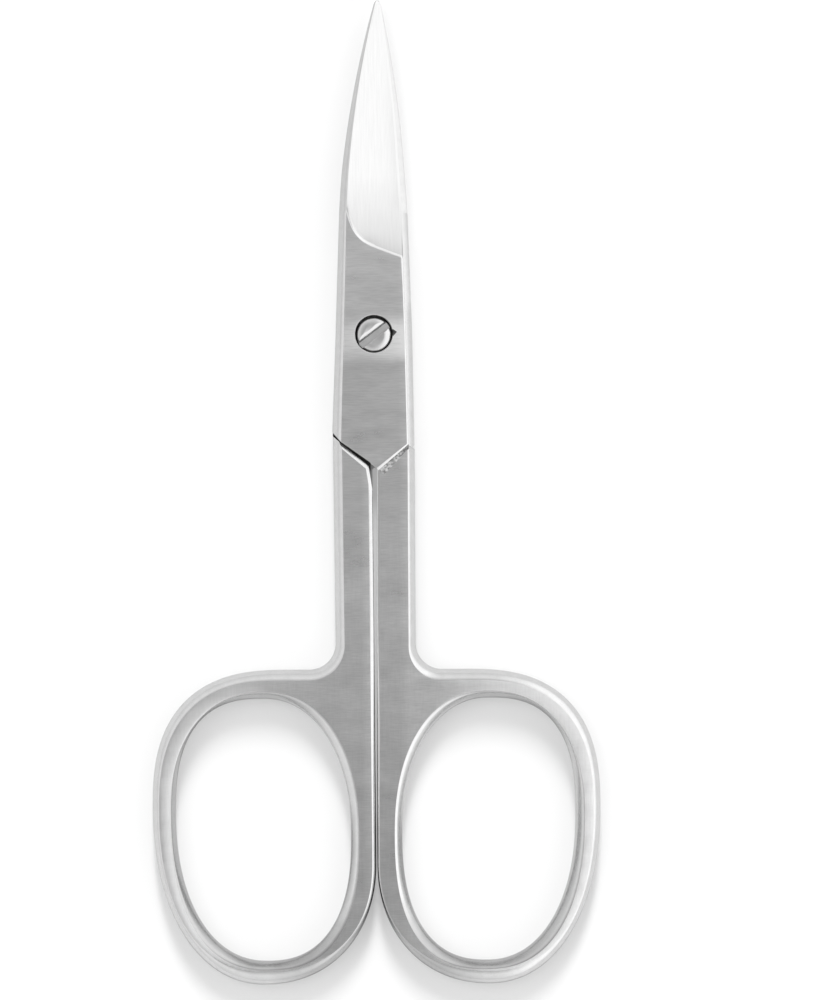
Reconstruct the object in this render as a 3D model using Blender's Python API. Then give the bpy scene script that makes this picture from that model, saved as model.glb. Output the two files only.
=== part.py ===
"""Nail scissors, 90 mm long: two forged steel halves that turn on one slotted pivot screw.

The scissors lie flat and closed on z = 0. The pivot's axis is the Z axis, the tips point
to +Y and the screw's head faces +Z. Each half is modelled the same way round, with its
handle at +X and its blade's back at -X, and the rear half is then turned over about Y.
"""
import math
from collections import namedtuple

import bmesh
import bpy

MM = 0.001

# Lengths from the pivot's axis
TIP_REACH = 30.6 * MM
HANDLE_REACH = 59.35 * MM
BOW_TOP_REACH = 30.57 * MM
VEE_REACH = 12.2 * MM
FRONT_SHOULDER_REACH = 10.45 * MM
REAR_SHOULDER_REACH = 9.25 * MM

# Thickness, from the resting face to the face with the screw
BLOCK_THICKNESS = 3.6 * MM
HANDLE_SETBACK = 0.3 * MM
BLADE_CLEARANCE = 0.1 * MM
TIP_THICKNESS = 0.85 * MM
CUTTING_EDGE_THICKNESS = 0.13 * MM

# Widths of the blade and of the pivot block, seen from the front
PIVOT_HALF_WIDTH = 3.5 * MM
BLADE_TAPER = 0.033
FRONT_BLOCK_TAPER = 0.04
REAR_BLOCK_TAPER = 0.014
BLADE_CURVE_START = 9.5 * MM
BLADE_BACK_RADIUS = 100.0 * MM
EDGE_SETBACK = 0.56 * MM
EDGE_TAPER = 0.018
TIP_SET = 0.47 * MM
TIP_SET_START = 14.5 * MM
TIP_SET_CURVE = 1.15
TIP_NOSE_LENGTH = 0.4 * MM
TIP_NOSE_SHARE = 0.35

# Ground face of the blade
GRIND_EDGE_REACH = 7.05 * MM
GRIND_BACK_REACH = 12.3 * MM
GRIND_END_CURVE = 5
GRIND_END_CURVE_SHARE = 0.7
GRIND_RUN_OUT = 4.6 * MM
GRIND_LAND_WIDTH = 0.1 * MM
GRIND_LAND_RISE = 0.06 * MM

# Edges that the forging leaves round: a profile's rows are shares of the way out from the
# flat face, each with its drop
SIDE_STRIP = 0.74 * MM
STRIP_PROFILE = ((0.0, 0.0), (0.28, 0.1 * MM), (0.66, 0.42 * MM), (0.95, 1.0 * MM))
STRIP_LOSS_AT_TIP = 0.8
STRIP_LOSS_CURVE = 1.5
PARTING_DROP_SHARE = 0.2
PARTING_DROP_FADE = 2.5 * MM
BACK_CHAMFER_WIDTH = 0.6 * MM
BACK_CHAMFER_HEIGHT = 0.5 * MM
BLOCK_CHAMFER_WIDTH = 0.23 * MM
BLOCK_CHAMFER_DROP = 0.2 * MM
SHOULDER_CHAMFER_WIDTH = 0.15 * MM
SHOULDER_CHAMFER_DROP = 0.1 * MM

# The V joint, where each block meets the other half's shoulder
VEE_GAP = 0.33 * MM
VEE_LEFT_X = 0.28 * MM
VEE_RIGHT_X = 0.17 * MM
VEE_POINT_RISE = 0.35 * MM
VEE_CORNER_X = 0.45 * MM
VEE_CORNER_RISE = 0.61 * MM
VEE_EDGE_WIDTH = 0.04 * MM
VEE_EDGE_DROP = 0.06 * MM
RIDGE_CHAMFER_WIDTH = 0.18 * MM
RIDGE_CHAMFER_DROP = 0.07 * MM
RIDGE_WIDTH = 0.6 * MM
RIDGE_FOOT_SLANT = 0.6
RIDGE_ROOT = 0.03 * MM
SHOULDER_CORNER_X = 0.555 * MM
SHOULDER_CORNER_RISE = 0.22 * MM
RELIEF_TOP_REACH = 13.95 * MM
RELIEF_BOTTOM_REACH = 15.9 * MM

# The handle's shank and its gap to the other handle
SHANK_HALF_WIDTH = 3.66 * MM
REAR_SHANK_FLARE = 0.15 * MM
PARTING_GAP_AT_VEE = 0.42 * MM
PARTING_GAP_AT_STOP = 0.1 * MM
STOP_REACH = 46.0 * MM
PARTING_STRIP = 0.3 * MM
BOW_FILLET_RADIUS = 2.4 * MM

# Finger bow: how far it reaches, its walls, and where each side bulges most
BOW_REACH = 20.48 * MM
FRONT_OUTER_WALL = 2.28 * MM
REAR_OUTER_WALL = 2.12 * MM
BOTTOM_WALL = 2.15 * MM
INNER_WALL = 2.34 * MM
TOP_WALL = 2.63 * MM
BOW_OUTER_BULGE = 43.2 * MM
BOW_INNER_BULGE = 48.2 * MM
BOW_TOP_X = 8.28 * MM
BOW_BOTTOM_X = 10.27 * MM
HOLE_OUTER_BULGE = 43.6 * MM
HOLE_INNER_BULGE = 45.7 * MM
HOLE_TOP_X = 10.31 * MM
HOLE_BOTTOM_X = 10.03 * MM

# Bevels along the bow's outside and round its hole
BOW_OUTER_STRIP = 0.68 * MM
BOW_BOTTOM_STRIP = 1.0 * MM
BOW_TOP_STRIP = 1.06 * MM
FRONT_HOLE_OUTER_BEVEL = 0.82 * MM
REAR_HOLE_OUTER_BEVEL = 0.52 * MM
HOLE_BOTTOM_BEVEL = 0.82 * MM
HOLE_INNER_BEVEL = 0.78 * MM
HOLE_TOP_BEVEL = 0.65 * MM
HOLE_PROFILE = ((0.0, 0.0), (0.22, 0.09 * MM), (0.7, 0.5 * MM), (1.0, 1.0 * MM))
STRIP_SHARE_OF_WALL = 0.48
BEVEL_SHARE_OF_WALL = 0.4

# How square each quarter of an outline is: 2 is an ellipse, more is squarer.
# The quarters run from the inner side by the bottom and the outer side to the top.
BOW_SQUARENESS = (2.15, 2.13, 2.58)
BOW_FLAT_SQUARENESS = (2.35, 2.29, 2.45)
HOLE_SQUARENESS = (2.43, 2.2, 2.58, 2.15)
HOLE_FLAT_SQUARENESS = (2.4, 2.36, 2.22, 2.24)

# Pivot screw, and the holes that it sits in
SCREW_HEAD_DIAMETER = 3.17 * MM
SCREW_HEAD_HEIGHT = 0.85 * MM
SCREW_HEAD_CLEARANCE = 0.15 * MM
SCREW_HEAD_RECESS = 0.04 * MM
SCREW_SEAT_CLEARANCE = 0.05 * MM
SCREW_DISH_RADIUS = 1.12 * MM
SCREW_DISH_DEPTH = 0.03 * MM
SCREW_EDGE_PROFILE = ((0.6, 0.07 * MM), (1.0, 0.27 * MM))
SCREW_SHANK_DIAMETER = 2.0 * MM
SCREW_SHANK_CLEARANCE = 0.05 * MM
SCREW_END_CHAMFER = 0.1 * MM
SLOT_WIDTH = 0.72 * MM
SLOT_DEPTH = 0.4 * MM
SLOT_CHAMFER_WIDTH = 0.2 * MM
SLOT_CHAMFER_DROP = 0.06 * MM
SLOT_ANGLE = math.radians(37)

# Punch mark beside the screw: a wedge that gets narrower and shallower outward
PUNCH_MARK_LENGTH = 0.75 * MM
PUNCH_MARK_END_LENGTH = 0.4 * MM
PUNCH_MARK_WIDTH = 0.4 * MM
PUNCH_MARK_DEPTH = 0.3 * MM
PUNCH_MARK_ANGLE = math.radians(7)

# Fineness of the curved outlines
BOW_STEPS = 24
HOLE_STEPS = 22
FILLET_STEPS = 12
PIVOT_STEPS = 48
COLUMNS = 10
ARM_STEPS = (COLUMNS - 2) // 2
RUN_OUT_ROWS = 6
BLADE_ROWS = 14
NOSE_ROWS = 3
SHARP_ANGLE = math.radians(25)

CUT_MARGIN = 1.0 * MM

MID_PLANE = BLOCK_THICKNESS / 2
LAP_FLOOR = MID_PLANE + BLADE_CLEARANCE / 2
LAP_THICKNESS = BLOCK_THICKNESS - LAP_FLOOR
HANDLE_TOP = BLOCK_THICKNESS - HANDLE_SETBACK
NOSE_START = TIP_REACH - TIP_NOSE_LENGTH

Half = namedtuple("Half", "shoulder_reach mate_reach shoulder_width block_taper tip_side"
                          " outer_wall hole_outer_bevel")
FRONT = Half(FRONT_SHOULDER_REACH, REAR_SHOULDER_REACH, SHANK_HALF_WIDTH,
             FRONT_BLOCK_TAPER, 1, FRONT_OUTER_WALL, FRONT_HOLE_OUTER_BEVEL)
REAR = Half(REAR_SHOULDER_REACH, FRONT_SHOULDER_REACH, SHANK_HALF_WIDTH + REAR_SHANK_FLARE,
            REAR_BLOCK_TAPER, -1, REAR_OUTER_WALL, REAR_HOLE_OUTER_BEVEL)


def clear_scene():
    for old in list(bpy.data.objects):
        bpy.data.objects.remove(old, do_unlink=True)


def steel(name, colour, roughness):
    material = bpy.data.materials.new(name)
    material.use_nodes = True
    shader = material.node_tree.nodes["Principled BSDF"]
    shader.inputs["Base Color"].default_value = (*colour, 1.0)
    shader.inputs["Metallic"].default_value = 1.0
    shader.inputs["Roughness"].default_value = roughness
    return material


def mesh_object(name, bm, material=None):
    bmesh.ops.recalc_face_normals(bm, faces=bm.faces)
    mesh = bpy.data.meshes.new(name)
    bm.to_mesh(mesh)
    bm.free()
    item = bpy.data.objects.new(name, mesh)
    bpy.context.collection.objects.link(item)
    if material:
        mesh.materials.append(material)
    return item


def add_boolean(item, cutter, operation):
    modifier = item.modifiers.new(cutter.name, "BOOLEAN")
    modifier.operation = operation
    modifier.solver = "EXACT"
    modifier.object = cutter
    cutter.hide_render = True
    cutter.display_type = "WIRE"


def finish(item):
    """Apply the cuts, remove the cutters, and shade round faces smooth up to the sharp edges."""
    cutters = [modifier.object for modifier in item.modifiers]
    depsgraph = bpy.context.evaluated_depsgraph_get()
    item.data = bpy.data.meshes.new_from_object(item.evaluated_get(depsgraph))
    item.modifiers.clear()
    for cutter in cutters:
        bpy.data.objects.remove(cutter, do_unlink=True)
    item.data.shade_smooth()
    item.data.set_sharp_from_angle(angle=SHARP_ANGLE)


def between(first, second, share):
    return first + (second - first) * share


def mix(first, second, share):
    return tuple(between(a, b, share) for a, b in zip(first, second))


# Handle: stacked outlines with rounded edges, and a finger hole through them

def quarter(start, end, squareness, steps, starts_upright):
    """Quarter of a superellipse from one extreme point of an outline to the next."""
    power = 2 / squareness
    points = []
    for step in range(steps):
        angle = math.pi / 2 * step / steps
        near = math.cos(angle) ** power
        far = math.sin(angle) ** power
        if starts_upright:
            points.append((between(end[0], start[0], near), between(start[1], end[1], far)))
        else:
            points.append((between(start[0], end[0], far), between(end[1], start[1], near)))
    return points


def hole_outline(grow, half):
    """Outline of the finger hole, from its edge (grow 0) out to the flat face (grow 1)."""
    outer_bevel = min(half.hole_outer_bevel, half.outer_wall * BEVEL_SHARE_OF_WALL) * grow
    bottom_bevel = min(HOLE_BOTTOM_BEVEL, BOTTOM_WALL * BEVEL_SHARE_OF_WALL) * grow
    inner_bevel = min(HOLE_INNER_BEVEL, INNER_WALL * BEVEL_SHARE_OF_WALL) * grow
    top_bevel = min(HOLE_TOP_BEVEL, TOP_WALL * BEVEL_SHARE_OF_WALL) * grow
    squareness = mix(HOLE_SQUARENESS, HOLE_FLAT_SQUARENESS, grow)
    inner = (INNER_WALL - inner_bevel, -HOLE_INNER_BULGE)
    bottom = (HOLE_BOTTOM_X, -(HANDLE_REACH - BOTTOM_WALL) - bottom_bevel)
    outer = (BOW_REACH - half.outer_wall + outer_bevel, -HOLE_OUTER_BULGE)
    top = (HOLE_TOP_X, -(BOW_TOP_REACH + TOP_WALL) + top_bevel)
    points = quarter(inner, bottom, squareness[0], HOLE_STEPS, True)
    points += quarter(bottom, outer, squareness[1], HOLE_STEPS, False)
    points += quarter(outer, top, squareness[2], HOLE_STEPS, True)
    points += quarter(top, inner, squareness[3], HOLE_STEPS, False)
    return points


def handle_outline(shrink, half):
    """Outline of shank and bow, from the silhouette (shrink 0) in to the flat face (shrink 1)."""
    outer_strip = min(BOW_OUTER_STRIP, half.outer_wall * STRIP_SHARE_OF_WALL) * shrink
    bottom_strip = min(BOW_BOTTOM_STRIP, BOTTOM_WALL * STRIP_SHARE_OF_WALL) * shrink
    top_strip = min(BOW_TOP_STRIP, TOP_WALL * STRIP_SHARE_OF_WALL) * shrink
    parting_strip = PARTING_STRIP * shrink
    side_strip = SIDE_STRIP * shrink
    squareness = mix(BOW_SQUARENESS, BOW_FLAT_SQUARENESS, shrink)
    stop_x = PARTING_GAP_AT_STOP / 2 + parting_strip
    vee_x = PARTING_GAP_AT_VEE / 2 + parting_strip
    inner = (stop_x, -BOW_INNER_BULGE)
    bottom = (BOW_BOTTOM_X, -HANDLE_REACH + bottom_strip)
    outer = (BOW_REACH - outer_strip, -BOW_OUTER_BULGE)
    top = (BOW_TOP_X + top_strip, -BOW_TOP_REACH - top_strip)
    points = [(vee_x, -VEE_REACH), (stop_x, -STOP_REACH)]
    points += quarter(inner, bottom, squareness[0], BOW_STEPS, True)
    points += quarter(bottom, outer, squareness[1], BOW_STEPS, False)
    points += quarter(outer, top, squareness[2], BOW_STEPS, True)
    points.append(top)
    radius = BOW_FILLET_RADIUS + side_strip
    centre_x = SHANK_HALF_WIDTH - side_strip + radius
    centre_y = top[1] + radius
    for step in range(FILLET_STEPS + 1):
        angle = math.pi / 2 * step / FILLET_STEPS
        points.append((centre_x - radius * math.sin(angle), centre_y - radius * math.cos(angle)))
    points.append((half.shoulder_width - side_strip, -half.shoulder_reach))
    return points


def tongue(half):
    """The end of the handle that lies inside the pivot block, from its side to the V point."""
    depth = VEE_REACH - half.shoulder_reach
    side_x = PIVOT_HALF_WIDTH - EDGE_SETBACK * 2
    side_y = -half.shoulder_reach + depth / 2
    return [(side_x, side_y), (PARTING_GAP_AT_VEE / 2, -half.shoulder_reach)]


def parting_drop_share(x):
    """The side next to the other handle has only a shallow bevel."""
    way = min(max((x - PARTING_STRIP) / PARTING_DROP_FADE, 0.0), 1.0)
    return between(PARTING_DROP_SHARE, 1.0, way)


def make_wall(bm, flat, full, profile, drop_share):
    """Band of faces round one side of the handle, and its rings on the two flat faces."""
    upper = []
    for share, drop in profile:
        ring = []
        for inside, outside in zip(flat, full):
            x, y = mix(inside, outside, share)
            ring.append((x, y, HANDLE_TOP - drop * drop_share(x)))
        upper.append(ring)
    middle = [(x, y, MID_PLANE) for x, y in full]
    lower = [[(x, y, BLOCK_THICKNESS - z) for x, y, z in ring] for ring in reversed(upper)]
    return add_wall(bm, upper + [middle] + lower)


def make_handle(name, half, material):
    """Closed body from stacked outlines that all have as many points, with a hole through it."""
    bm = bmesh.new()
    flat = handle_outline(1, half) + tongue(half)
    full = handle_outline(0, half) + tongue(half)
    outer = make_wall(bm, flat, full, STRIP_PROFILE, parting_drop_share)
    hole = make_wall(bm, hole_outline(1, half), hole_outline(0, half), HOLE_PROFILE,
                     lambda x: 1.0)
    for outer_ring, hole_ring in zip(outer, hole):
        borders = []
        for ring in (outer_ring, hole_ring):
            for start, end in zip(ring, ring[1:] + ring[:1]):
                borders.append(bm.edges.get((start, end)))
        bmesh.ops.triangle_fill(bm, edges=borders, use_beauty=True, use_dissolve=False)
    return mesh_object(name, bm, material)


def add_wall(bm, outlines):
    """Band of faces through outlines of points, and the rings at its two ends."""
    rings = [[bm.verts.new(point) for point in outline] for outline in outlines]
    for low, high in zip(rings, rings[1:]):
        for index in range(len(low)):
            follow = (index + 1) % len(low)
            bm.faces.new((low[index], low[follow], high[follow], high[index]))
    return rings[0], rings[-1]


# Blade with its pivot block: closed sections from the V joint to the tip, each of which
# runs from the cutting edge across the face, round the blade's back and under it

def half_width(y, half):
    """Distance from the centre line to the back of the blade."""
    if y <= 0:
        return PIVOT_HALF_WIDTH - half.block_taper * y
    along = max(y - BLADE_CURVE_START, 0.0)
    drop = BLADE_BACK_RADIUS - math.sqrt(BLADE_BACK_RADIUS ** 2 - along ** 2)
    return PIVOT_HALF_WIDTH - BLADE_TAPER * y - drop


def nose(y):
    """Share of the width that is left where the tip is rounded."""
    along = min(max((y - NOSE_START) / TIP_NOSE_LENGTH, 0.0), 1.0)
    return between(TIP_NOSE_SHARE, 1.0, math.sqrt(1 - along ** 2))


def tip_set(y, half):
    """Both tips lean a little to the same side, which is the other side once turned over."""
    along = max(y - TIP_SET_START, 0.0) / (TIP_REACH - TIP_SET_START)
    return half.tip_side * TIP_SET * along ** TIP_SET_CURVE


def back_x(y, half):
    return tip_set(y, half) - half_width(y, half) * nose(y)


def edge_x(y, half):
    if y <= 0:
        return PIVOT_HALF_WIDTH - EDGE_SETBACK - EDGE_TAPER * y
    setback = EDGE_SETBACK * (1 - (y / TIP_REACH) ** 3)
    return tip_set(y, half) + (half_width(y, half) - setback) * nose(y)


def way_to_tip(y):
    return max(y - GRIND_BACK_REACH, 0.0) / (TIP_REACH - GRIND_BACK_REACH)


def strip_share(y):
    """How wide the rounded back edge still is, as a share of its full width."""
    return (1 - STRIP_LOSS_AT_TIP * way_to_tip(y) ** STRIP_LOSS_CURVE) * nose(y)


def grind_end_y(share):
    """Where the ground face ends on the block: near at the edge, far at the back."""
    curve = between(share, share ** GRIND_END_CURVE, GRIND_END_CURVE_SHARE)
    return between(GRIND_EDGE_REACH, GRIND_BACK_REACH, curve)


def ramp(y, share):
    """How much of the block's full height is left beyond the end of the ground face."""
    along = (y - grind_end_y(share)) / GRIND_RUN_OUT
    return (1 - min(max(along, 0.0), 1.0)) ** 2


def face_height(y, share):
    """Height of the blade's face above the face between the blades."""
    back = between(LAP_THICKNESS, TIP_THICKNESS, way_to_tip(y))
    bevel = between(CUTTING_EDGE_THICKNESS + GRIND_LAND_RISE, back, share)
    return between(bevel, LAP_THICKNESS, ramp(y, share))


def under_row(first, last):
    """Points of a section's underside, from the edge to the foot of the back's chamfer."""
    return [(*mix(first, last, column / COLUMNS), 0.0) for column in range(COLUMNS + 1)]


def lap_section(row_y, half):
    """Outline of one section: the face from the edge on, the round back and the underside."""
    y = row_y(0)
    block_share = ramp(y, 0)
    edge_height = between(CUTTING_EDGE_THICKNESS, LAP_THICKNESS - BLOCK_CHAMFER_DROP, block_share)
    chamfer = between(GRIND_LAND_WIDTH, BLOCK_CHAMFER_WIDTH, block_share) * nose(y)
    edge = (edge_x(y, half), y)
    points = [(*edge, edge_height)]
    for column in range(COLUMNS + 1):
        share = column / COLUMNS
        y = row_y(share)
        strip = SIDE_STRIP * strip_share(y)
        x = between(edge_x(y, half) - chamfer, back_x(y, half) + strip, share)
        points.append((x, y, face_height(y, share)))
    back = back_x(y, half)
    height = face_height(y, 1)
    for share, drop in STRIP_PROFILE[1:]:
        points.append((back + strip * (1 - share), y, height - drop * strip_share(y)))
    points.append((back, y, BACK_CHAMFER_HEIGHT * strip_share(y)))
    foot = (back + BACK_CHAMFER_WIDTH * strip_share(y), y)
    return points + under_row(edge, foot)[::-1]


def vee_sections(half):
    """Sections along the V joint: the foot of the block's ridge, its chamfer and its rim.

    The foot leans aside toward the V point, so that it stays clear of the gap between the handles.
    """
    right_y = -half.shoulder_reach + HANDLE_SETBACK
    left_y = -half.mate_reach + VEE_GAP
    right = (edge_x(right_y, half), right_y)
    right_point = (VEE_RIGHT_X, -VEE_REACH)
    left_point = (-VEE_LEFT_X, -VEE_REACH + VEE_POINT_RISE)
    corner = (-VEE_CORNER_X, -VEE_REACH + VEE_CORNER_RISE)
    left = (back_x(left_y, half), left_y)
    right_length = right[0] - right_point[0]
    left_length = corner[0] - left[0]
    ridge = [(right, BLOCK_CHAMFER_DROP)]
    ridge.append((mix(right, right_point, BLOCK_CHAMFER_WIDTH / right_length), 0.0))
    for step in range(1, ARM_STEPS + 1):
        ridge.append((mix(right, right_point, step / ARM_STEPS), 0.0))
    brow = [(left_point, 0.0), (corner, 0.0)]
    strip_start = mix(corner, left, 1 - SIDE_STRIP / left_length)
    for step in range(1, ARM_STEPS + 1):
        brow.append((mix(corner, strip_start, step / ARM_STEPS), 0.0))
    for share, drop in STRIP_PROFILE[1:]:
        brow.append((mix(strip_start, left, share), drop))
    foot = mix(corner, left, 1 - BACK_CHAMFER_WIDTH / left_length)
    root = HANDLE_SETBACK + RIDGE_ROOT
    sections = []
    for ridge_lead, ridge_drop, lead, edge_drop in (
            (RIDGE_WIDTH, root, VEE_EDGE_WIDTH, VEE_EDGE_DROP),
            (RIDGE_CHAMFER_WIDTH, RIDGE_CHAMFER_DROP, VEE_EDGE_WIDTH / 2, VEE_EDGE_DROP / 2),
            (0.0, 0.0, 0.0, 0.0)):
        points = []
        for (x, y), drop in ridge:
            aside = ridge_lead * RIDGE_FOOT_SLANT * (right[0] - x) / right_length
            points.append((x + aside, y - ridge_lead, LAP_THICKNESS - max(ridge_drop, drop)))
        for (x, y), drop in brow:
            points.append((x, y - lead, LAP_THICKNESS - drop - edge_drop))
        points.append((left[0], left[1] - lead, BACK_CHAMFER_HEIGHT))
        under = [(x, y, 0.0) for x, y, height in points[:1] + points[2:COLUMNS + 1]]
        under.append((foot[0], foot[1] - lead, 0.0))
        sections.append(points + under[::-1])
    return sections


def make_lap(name, half, material):
    """Half-thick body of one blade and its block, lying above the face between the blades."""
    sections = vee_sections(half)
    for y in (-VEE_REACH / 3, 0.0, GRIND_EDGE_REACH / 2):
        sections.append(lap_section(lambda share, y=y: y, half))
    for step in range(RUN_OUT_ROWS + 1):
        gap = GRIND_RUN_OUT * step / RUN_OUT_ROWS
        sections.append(lap_section(lambda share, gap=gap: grind_end_y(share) + gap, half))
    for step in range(1, BLADE_ROWS + 1):
        along = step / BLADE_ROWS
        sections.append(lap_section(lambda share, along=along: blade_y(share, along), half))
    for step in range(1, NOSE_ROWS + 1):
        y = between(NOSE_START, TIP_REACH, math.sin(math.pi / 2 * step / NOSE_ROWS))
        sections.append(lap_section(lambda share, y=y: y, half))
    return loft(name, sections, material)


def blade_y(share, along):
    """Rows of the blade: they start slanted, like the end of the ground face, and end square."""
    return between(grind_end_y(share) + GRIND_RUN_OUT, NOSE_START, along)


def loft(name, sections, material):
    """Closed body through the sections, whose ends are filled between face and underside."""
    bm = bmesh.new()
    raised = [[(x, y, LAP_FLOOR + z) for x, y, z in section] for section in sections]
    total = len(raised[0])
    for ring in add_wall(bm, raised):
        bm.faces.new((ring[0], ring[1], ring[-1]))
        for column in range(COLUMNS):
            upper = column + 1
            lower = total - 1 - column
            bm.faces.new((ring[upper], ring[upper + 1], ring[lower - 1], ring[lower]))
        bm.faces.new(ring[COLUMNS + 1:total - COLUMNS])
    return mesh_object(name, bm, material)


# Cutters

def make_room_cutter(name, half):
    """Room for the other half's block: down to this shoulder, whose rim it chamfers."""
    corner = (SHOULDER_CORNER_X, -VEE_REACH + SHOULDER_CORNER_RISE)
    slope = (corner[1] + half.shoulder_reach) / (corner[0] - half.shoulder_width)
    far_x = half.shoulder_width + CUT_MARGIN * 2
    far_y = corner[1] + slope * (far_x - corner[0])
    near_x = -PIVOT_HALF_WIDTH - CUT_MARGIN
    relief_x = (PARTING_GAP_AT_VEE + PARTING_STRIP) / 2
    outline = [(far_x, far_y), corner, (relief_x, -RELIEF_TOP_REACH)]
    outline += [(0.0, -RELIEF_BOTTOM_REACH), (near_x, -RELIEF_BOTTOM_REACH)]
    outline += [(near_x, CUT_MARGIN), (far_x, CUT_MARGIN)]
    chamfer_top = HANDLE_SETBACK + SHOULDER_CHAMFER_DROP
    flare = SHOULDER_CHAMFER_WIDTH / SHOULDER_CHAMFER_DROP
    levels = []
    for height in (0.0, chamfer_top, LAP_FLOOR):
        shift = max(chamfer_top - height, 0.0) * flare
        levels.append([(x + shift, y - shift, height) for x, y in outline])
    return make_cutter(name, levels)


def make_cutter(name, outlines):
    """Closed body through outlines that all have as many points."""
    bm = bmesh.new()
    for ring in add_wall(bm, outlines):
        bm.faces.new(ring)
    return mesh_object(name, bm)


def make_bore(name, diameter, low, high):
    radius = diameter / 2
    angles = [2 * math.pi * step / PIVOT_STEPS for step in range(PIVOT_STEPS)]
    outline = [(radius * math.cos(angle), radius * math.sin(angle)) for angle in angles]
    return make_cutter(name, [[(x, y, height) for x, y in outline] for height in (low, high)])


def make_punch(name):
    """Wedge at the rim of the screw's bore, which would lock the screw."""
    bm = bmesh.new()
    rim = SCREW_HEAD_DIAMETER / 2 + SCREW_HEAD_CLEARANCE / 2
    end = SCREW_HEAD_DIAMETER / 2 + SCREW_HEAD_CLEARANCE + PUNCH_MARK_WIDTH
    for side in (-1, 1):
        rim_y = side * PUNCH_MARK_LENGTH / 2
        end_y = side * PUNCH_MARK_END_LENGTH / 2
        bm.verts.new((rim, rim_y, BLOCK_THICKNESS + CUT_MARGIN))
        bm.verts.new((rim, end_y, BLOCK_THICKNESS - PUNCH_MARK_DEPTH))
        bm.verts.new((end, end_y, BLOCK_THICKNESS + CUT_MARGIN))
        bm.verts.new((end, end_y, BLOCK_THICKNESS))
    bmesh.ops.convex_hull(bm, input=bm.verts)
    punch = mesh_object(name, bm)
    punch.rotation_euler = (0, 0, PUNCH_MARK_ANGLE)
    return punch


def make_slot(name, top):
    """Prism with flared sides, which leaves a chamfer along both edges of the slot."""
    side = SLOT_WIDTH / 2
    chamfer_drop = SCREW_DISH_DEPTH + SLOT_CHAMFER_DROP
    lip = side + SLOT_CHAMFER_WIDTH * chamfer_drop / SLOT_CHAMFER_DROP
    profile = [(-side, -SLOT_DEPTH), (-side, -chamfer_drop), (-lip, 0.0), (-lip, CUT_MARGIN)]
    profile += [(-y, z) for y, z in reversed(profile)]
    ends = []
    for x in (-SCREW_HEAD_DIAMETER, SCREW_HEAD_DIAMETER):
        ends.append([(x, y, z) for y, z in profile])
    slot = make_cutter(name, ends)
    slot.location = (0, 0, top)
    slot.rotation_euler = (0, 0, SLOT_ANGLE)
    return slot


# Whole pieces

def make_half(name, half, cutters, material):
    item = make_handle(name, half, material)
    add_boolean(item, make_room_cutter(f"{name} room", half), "DIFFERENCE")
    add_boolean(item, make_lap(f"{name} lap", half, material), "UNION")
    for cutter in cutters:
        add_boolean(item, cutter, "DIFFERENCE")
    finish(item)
    return item


def make_screw(name, material):
    """Turned profile from the dished, slotted head down to the shank's end, flush with z = 0."""
    top = BLOCK_THICKNESS - SCREW_HEAD_RECESS
    seat = top - SCREW_HEAD_HEIGHT
    head = SCREW_HEAD_DIAMETER / 2
    shank = SCREW_SHANK_DIAMETER / 2
    profile = [(0.0, top - SCREW_DISH_DEPTH), (SCREW_DISH_RADIUS, top)]
    for share, drop in SCREW_EDGE_PROFILE:
        profile.append((between(SCREW_DISH_RADIUS, head, share), top - drop))
    profile += [(head, seat), (shank, seat), (shank, SCREW_END_CHAMFER)]
    profile += [(shank - SCREW_END_CHAMFER, 0.0), (0.0, 0.0)]
    bm = bmesh.new()
    points = [bm.verts.new((radius, 0.0, height)) for radius, height in profile]
    edges = [bm.edges.new(pair) for pair in zip(points, points[1:])]
    bmesh.ops.spin(bm, geom=points + edges, axis=(0, 0, 1), cent=(0, 0, 0),
                   angle=2 * math.pi, steps=PIVOT_STEPS, use_merge=True)
    bmesh.ops.remove_doubles(bm, verts=bm.verts, dist=1e-7)
    item = mesh_object(name, bm, material)
    add_boolean(item, make_slot("slot", top), "DIFFERENCE")
    finish(item)


def build():
    clear_scene()
    plated = steel("nickel plated steel", (0.72, 0.72, 0.73), 0.3)
    turned = steel("turned steel", (0.68, 0.68, 0.69), 0.26)
    head_bore = SCREW_HEAD_DIAMETER + SCREW_HEAD_CLEARANCE * 2
    shank_bore = SCREW_SHANK_DIAMETER + SCREW_SHANK_CLEARANCE * 2
    head_seat = BLOCK_THICKNESS - SCREW_HEAD_RECESS - SCREW_HEAD_HEIGHT - SCREW_SEAT_CLEARANCE
    bore_low = MID_PLANE - CUT_MARGIN
    bore_high = BLOCK_THICKNESS + CUT_MARGIN
    front_cutters = [
        make_bore("counterbore", head_bore, head_seat, bore_high),
        make_bore("front bore", shank_bore, bore_low, bore_high),
        make_punch("punch mark"),
    ]
    make_half("front_half", FRONT, front_cutters, plated)
    rear_cutters = [make_bore("rear bore", shank_bore, bore_low, bore_high)]
    rear = make_half("rear_half", REAR, rear_cutters, plated)
    rear.rotation_euler = (0, math.pi, 0)
    rear.location = (0, 0, BLOCK_THICKNESS)
    make_screw("pivot_screw", turned)


build()
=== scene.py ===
"""Looks of the nail scissors: finished steel, a pale studio floor and a camera from above.

Each half and the screw are modelled again here, finer than the frame's solids but in the
same place.
"""
import math
from collections import namedtuple

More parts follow.
